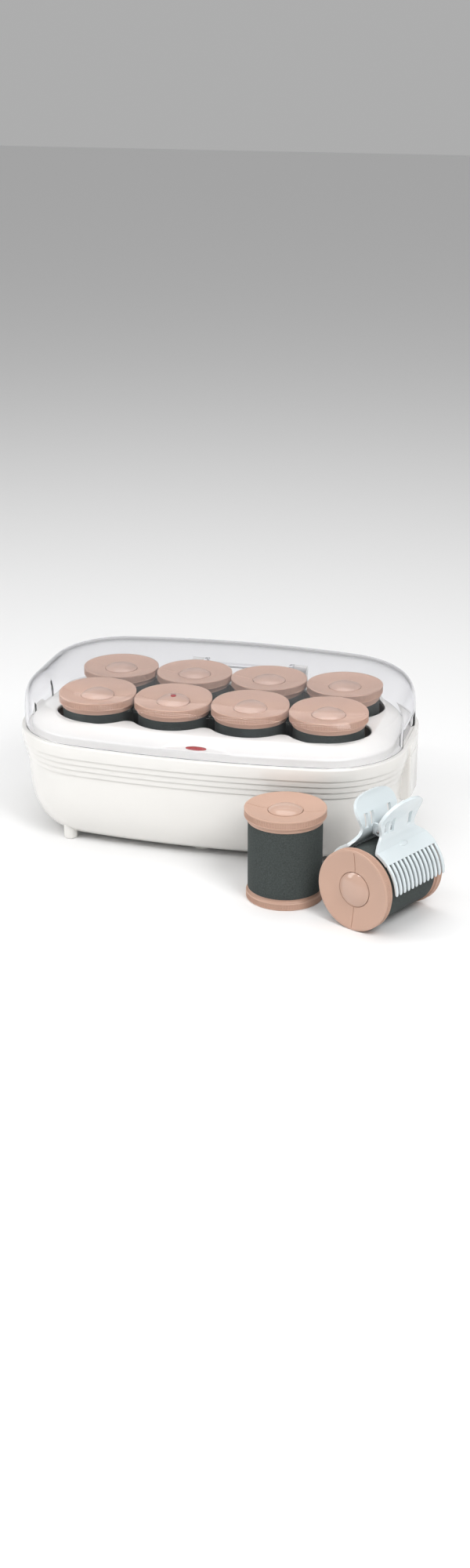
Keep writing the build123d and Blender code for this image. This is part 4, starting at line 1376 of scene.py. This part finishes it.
@dataclass
class ClawClip:
    """The claw clip, about the roller's axis: x along it, y across, z away from the table."""

    comb: Repeat
    coil: Repeat
    place: Matrix
    radius: float = 0.0273
    band: float = 0.0024
    teeth: int = 13
    tooth_pitch: float = 0.0044
    tooth_width: float = 0.0024
    pin_height: float = 0.0335
    waist_half: float = 0.009
    waist_height: float = 0.038
    grip_top: float = 0.057
    grip_half: float = 0.016
    wall: float = 0.0022
    slots: tuple[float, ...] = (-0.012, 0.007, 0.0135)
    slot_width: float = 0.004
    slot_low: float = 0.036
    slot_height: float = 0.009
    path_steps: int = 54
    comb_high: float = 0.026
    waist_low: float = 0.035
    bell_low: float = 0.0455
    waist_width: float = 0.0180
    bell_width: float = 0.0215
    lined_up: float = 0.0165

    def build(self) -> None:
        """Makes both jaws, the pin and the spring."""
        for name, side, lugs in (("right", 1, (-0.0086, 0.0086)), ("left", -1, (-0.0062, 0.0062))):
            turn = self.place @ Matrix.Diagonal((1, side, 1, 1))
            body = f"clip_jaw_{name}"
            shape = self.sheet()
            for x in lugs:
                shape.join(self.lug(x))
            shape.join(self.bump())
            piece(f"clip_{name}_jaw", shape, Finish.CLIP, body, [body], turn,
                  bevel=0.0004, crease=40)
            teeth = self.comb.make(f"clip_{name}_teeth", self.tooth(),
                                   {"Count": self.teeth, "Pitch": self.tooth_pitch}, Finish.CLIP)
            teeth.data.transform(turn)
            outward(teeth.data)
            smooth(teeth.data, 50.0)
            fix(teeth, Finish.CLIP, body)
        self.pin_and_spring()

    def centre_line(self) -> np.ndarray:
        """The middle of the jaw's wall in the YZ plane, from the comb up to the grip's edge."""
        middle = self.radius + self.band / 2
        half = self.wall / 2
        band = arc((0, 0), middle, 44.5, 66, 16)
        waist = self.waist_half - half
        key = [band[-1], (waist + 0.0010, 0.0300), (waist, 0.0335), (waist, 0.0385),
               (waist + 0.0010, 0.0438), (waist + 0.0030, 0.0480), (waist + 0.0058, 0.0535),
               (self.grip_half - half, self.grip_top)]
        return np.array(band[:-1] + smooth_line(key, self.path_steps - len(band) + 1))

    def half_width(self, z: float) -> float:
        """Half the jaw's width at a height: the comb's, then the waist's, then the bell's."""
        comb = (self.teeth - 1) * self.tooth_pitch / 2 + self.tooth_width / 2
        waist, bell = self.waist_width, self.bell_width
        if z < self.comb_high:
            return comb
        if z < self.waist_low:
            share = (z - self.comb_high) / (self.waist_low - self.comb_high)
            return comb + (waist - comb) * float(smoothstep(share)) ** 0.7
        if z < self.bell_low:
            share = (z - self.waist_low) / (self.bell_low - self.waist_low)
            return waist + (bell - waist) * float(smoothstep(share))
        share = min((z - self.bell_low) / (self.grip_top - self.bell_low), 1.0)
        return max(bell * (1 - share**2.6) ** (1 / 2.6), 0.0055 * share)

    def sheet(self) -> Shape:
        """The jaw's wall with its slots cut through."""
        line = self.centre_line()
        step = np.gradient(line, axis=0)
        step /= np.linalg.norm(step, axis=1)[:, None]
        normal = np.column_stack([step[:, 1], -step[:, 0]])
        places = [self.columns(self.half_width(z)) for z in line[:, 1]]
        skins = []
        for sign in (1, -1):
            moved = line + normal * sign * self.wall / 2
            skins.append(np.vstack([np.column_stack([x, np.tile(yz, (len(x), 1))])
                                    for x, yz in zip(places, moved)]))
        return self._walled(skins, self._cells(line))

    def columns(self, half: float) -> np.ndarray:
        """Places of the sheet's columns across a width, with the slots' edges kept in line."""
        fixed = self.lined_up
        inner = np.linspace(-1, 1, 67) * fixed
        if half < fixed:
            return np.concatenate([np.full(5, -half), np.clip(inner, -half, half),
                                   np.full(5, half)])
        outer = np.linspace(fixed, half, 6)[1:]
        return np.concatenate([-outer[::-1], inner, outer])

    def _cells(self, line: np.ndarray) -> np.ndarray:
        """True for each cell of the sheet that is wall, False in the slots."""
        places = self.columns(self.bell_width)
        middles = (places[1:] + places[:-1]) / 2
        heights = (line[1:, 1] + line[:-1, 1]) / 2
        kept = np.ones((len(heights), len(middles)), bool)
        for x in self.slots:
            across = np.abs(middles - x) < self.slot_width / 2
            up = (heights > self.slot_low) & (heights < self.slot_low + self.slot_height)
            kept[np.ix_(up, across)] = False
        return kept

    def _walled(self, skins: list[np.ndarray], kept: np.ndarray) -> Shape:
        """Two skins and the walls round every edge where the wall stops."""
        rows, columns = kept.shape
        width = columns + 1
        base = (rows + 1) * width
        faces: list[tuple[int, ...]] = []
        for i in range(rows):
            for j in range(columns):
                if not kept[i, j]:
                    continue
                a, b = i * width + j, i * width + j + 1
                c, d = b + width, a + width
                faces += [(a, b, c, d), (base + d, base + c, base + b, base + a)]
                for (p, q), (ni, nj) in (((a, b), (i - 1, j)), ((b, c), (i, j + 1)),
                                         ((c, d), (i + 1, j)), ((d, a), (i, j - 1))):
                    inside = 0 <= ni < rows and 0 <= nj < columns and kept[ni, nj]
                    if not inside:
                        faces.append((q, p, base + p, base + q))
        return Shape().add(np.vstack(skins), faces)

    def bump(self) -> Shape:
        """The small oval rise in the middle of the jaw's shoulder."""
        turn = math.radians(63)
        out = Vector((0, math.cos(turn), math.sin(turn)))
        along = Vector((1, 0, 0))
        rings = []
        for angle in np.radians(np.linspace(-90, 90, 13)):
            wide, high = math.cos(angle), math.sin(angle)
            spots = np.linspace(0, 2 * math.pi, 32, endpoint=False)
            rings.append(np.column_stack([0.0042 * wide * np.cos(spots),
                                          0.0021 * wide * np.sin(spots),
                                          np.full(32, 0.0007 * high)]))
        skin = self.radius + self.band / 2 + self.wall / 2
        return loft(rings).placed(axes(out * skin, along, out.cross(along), out))

    def tooth(self) -> Shape:
        """One curved tooth with a rounded end."""
        middle = self.radius + self.band / 2
        rings = []
        for angle, size in ((47, 0.7), (45, 0.85), (42, 1), (33, 1), (26, 1), (19, 1), (12, 0.97),
                            (7, 0.93), (4, 0.85), (2.4, 0.65), (1.6, 0.35), (1.4, 0.0)):
            turn = math.radians(angle)
            ring = []
            for spot in np.linspace(0, 2 * math.pi, 12, endpoint=False):
                c, s = math.cos(spot), math.sin(spot)
                x = self.tooth_width / 2 * size * math.copysign(abs(c) ** 0.7, c)
                out = middle + self.band / 2 * size * math.copysign(abs(s) ** 0.7, s)
                ring.append((x, out * math.cos(turn), out * math.sin(turn)))
            rings.append(np.array(ring))
        rings.insert(0, np.tile(rings[0].mean(axis=0), (12, 1)))
        return loft(rings)

    def lug(self, x: float) -> Shape:
        """One lug that reaches from the waist to the pin."""
        plate = eye_plate(0.0066, 0.0042, 0.0034, 0.0013, -0.001, 0.001)
        return plate.placed(axes(Vector((x, 0, self.pin_height)), Vector((0, -1, 0)),
                                 Vector((0, 0, -1)), Vector((1, 0, 0))))

    def pin_and_spring(self) -> None:
        """The hinge pin with domed heads, and the coil round it."""
        pin = [(0, -0.011), (0.0008, -0.01095), (0.00125, -0.0107), (0.00125, 0.0107),
               (0.0008, 0.01095), (0, 0.011)]
        along = self.place @ Matrix.Translation((0, 0, self.pin_height))
        along = along @ Matrix.Rotation(math.pi / 2, 4, "Y")
        piece("clip_axle", lathe(pin, 32), Finish.STEEL, "clip_carrier", ["clip_pin"], along)
        wound = self.coil.make("clip_coil", Shape(), {
            "Turns": 5.0, "Coil Radius": 0.0026, "Wire Radius": 0.00045, "Length": 0.0055},
            Finish.STEEL)
        wound.data.transform(along @ Matrix.Translation((0, 0, -0.00275)))
        wound.data.shade_smooth()
        fix(wound, Finish.STEEL, "clip_carrier", ["clip_spring"])


def smooth_line(points: Sequence[Pair], count: int) -> list[Pair]:
    """A smooth line through points, evenly sampled.

    Args:
        points: The points it passes.
        count: Number of samples.

    Returns:
        The samples.
    """
    given = np.array(points)
    padded = np.vstack([2 * given[0] - given[1], given, 2 * given[-1] - given[-2]])
    dense = []
    for k in range(1, len(padded) - 2):
        p0, p1, p2, p3 = padded[k - 1 : k + 3]
        for t in np.linspace(0, 1, 40, endpoint=False):
            dense.append(0.5 * (2 * p1 + (p2 - p0) * t + (2 * p0 - 5 * p1 + 4 * p2 - p3) * t**2
                                + (3 * p1 - p0 - 3 * p2 + p3) * t**3))
    line = np.array(dense + [given[-1]])
    gone = np.concatenate([[0], np.cumsum(np.linalg.norm(np.diff(line, axis=0), axis=1))])
    even = np.linspace(0, gone[-1], count)
    return list(zip(np.interp(even, gone, line[:, 0]), np.interp(even, gone, line[:, 1])))


# ---------------------------------------------------------------- the studio

@dataclass(frozen=True)
class Light:
    """A soft rectangular light: its name, place, aim, two sides and power in watts."""

    name: str
    at: Point
    to: Point
    size: Pair
    power: float


LIGHTS = (Light("window", (0.75, -0.75, 1.05), (0.0, -0.05, 0.05), (0.45, 0.6), 9.0),
          Light("left_bank", (-1.1, -0.45, 0.75), (0.0, 0.0, 0.05), (0.5, 1.1), 6.5),
          Light("front_strip", (0.0, -1.1, 1.25), (0.0, 0.0, 0.1), (1.7, 0.1), 6.0),
          Light("overhead", (0.0, 0.25, 1.4), (0.0, 0.0, 0.0), (1.4, 0.9), 7.5))


@dataclass
class Studio:
    """Pale floor, soft lights and the camera, all placed from the middle of the grid."""

    camera_at: Point = (0.355034, -1.343805, 0.584374)
    camera_to: Point = (0.0098, 0.0, 0.0279)
    lens: float = 46.35
    floor_half: float = 6.0
    floor_colour: Colour = (0.86, 0.86, 0.86)
    world_strength: float = 0.42

    def build(self) -> None:
        """Makes the floor, the world, the lights and the camera."""
        bpy.context.scene.view_settings.view_transform = "Standard"
        self.floor()
        self.world()
        for light in LIGHTS:
            self.light(light)
        self.camera()

    def floor(self) -> None:
        """A wide pale floor."""
        side = self.floor_half
        ring = np.array([(-side, -side, 0), (side, -side, 0), (side, side, 0), (-side, side, 0)])
        mesh = bpy.data.meshes.new("floor")
        mesh.from_pydata(ring.tolist(), [], [(0, 1, 2, 3)])
        made = new_object("floor", mesh)
        material, graph = new_material("pale_floor")
        graph.end(graph.principled({"Base Color": opaque(self.floor_colour), "Roughness": 0.6}))
        mesh.materials.append(material)

    def world(self) -> None:
        """Even pale surroundings."""
        world = bpy.data.worlds.new("surroundings")
        bpy.context.scene.world = world
        world.use_nodes = True
        graph = Graph(world.node_tree)
        shade = graph.node("ShaderNodeBackground", sockets={
            "Color": (1.0, 1.0, 1.0, 1.0), "Strength": self.world_strength})
        graph.end(shade, "ShaderNodeOutputWorld")

    def light(self, light: Light) -> None:
        """Adds one light."""
        data = bpy.data.lights.new(light.name, "AREA")
        data.shape = "RECTANGLE"
        data.size, data.size_y = light.size
        data.energy = light.power
        new_object(light.name, data).matrix_world = self.aimed(light.at, light.to)

    def camera(self) -> None:
        """The camera, long side of the sensor upright."""
        data = bpy.data.cameras.new("camera")
        data.lens = self.lens
        data.sensor_width = 36.0
        data.clip_start = 0.01
        made = new_object("camera", data)
        made.matrix_world = self.aimed(self.camera_at, self.camera_to)
        bpy.context.scene.camera = made

    @staticmethod
    def aimed(at: Point, to: Point) -> Matrix:
        """The place at one point that looks at another, both from the middle of the grid."""
        here, there = GRID @ Vector(at), GRID @ Vector(to)
        turn = (there - here).to_track_quat("-Z", "Y").to_matrix().to_4x4()
        return Matrix.Translation(here) @ turn


# ---------------------------------------------------------------- putting it together

def dress_the_rest() -> None:
    """Gives every CAD node that still shows the finish that the record names for it."""
    named = {part["node"]: part["material_slot"] for part in frame["record"]["subparts"]}
    by_slot = {finish.value.slot: finish for finish in Finish}
    for node, shown in frame["nodes"].items():
        if not shown.hide_render:
            finish = by_slot[named[node]]
            finish.dress(shown)
            LOG.info("%s: kept, in %s", node, finish.name.lower())


def lying_places() -> tuple[Matrix, Matrix]:
    """Where the lying roller and the clip on it are."""
    middle, axis = place_of("lying_roller_bore")
    axis = -axis.normalized()
    across = Vector((0, 0, 1)).cross(axis).normalized()
    above = axis.cross(across)
    clip = axes(middle, axis, across, above)
    base = middle - axis * LYING_MOUNT
    return axes(base, above, axis.cross(above), axis), clip


def standing_place() -> Matrix:
    """Where the standing roller is."""
    low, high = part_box("standing_roller_sleeve")
    return Matrix.Translation(((low.x + high.x) / 2, (low.y + high.y) / 2, 0.0))


def main() -> None:
    """Builds the set piece by piece."""
    logging.basicConfig(level=logging.INFO, format="%(message)s")
    Studio().build()
    plan = Plan()
    Case(plan).build()
    Lid(plan).build()
    roller = Roller(ring_repeat())
    roller.in_case()
    roller.loose("standing_roller", standing_place())
    lying, clip = lying_places()
    roller.loose("lying_roller", lying)
    ClawClip(row_repeat(), coil_repeat(), clip).build()
    dress_the_rest()


if __name__ == "__main__":
    main()
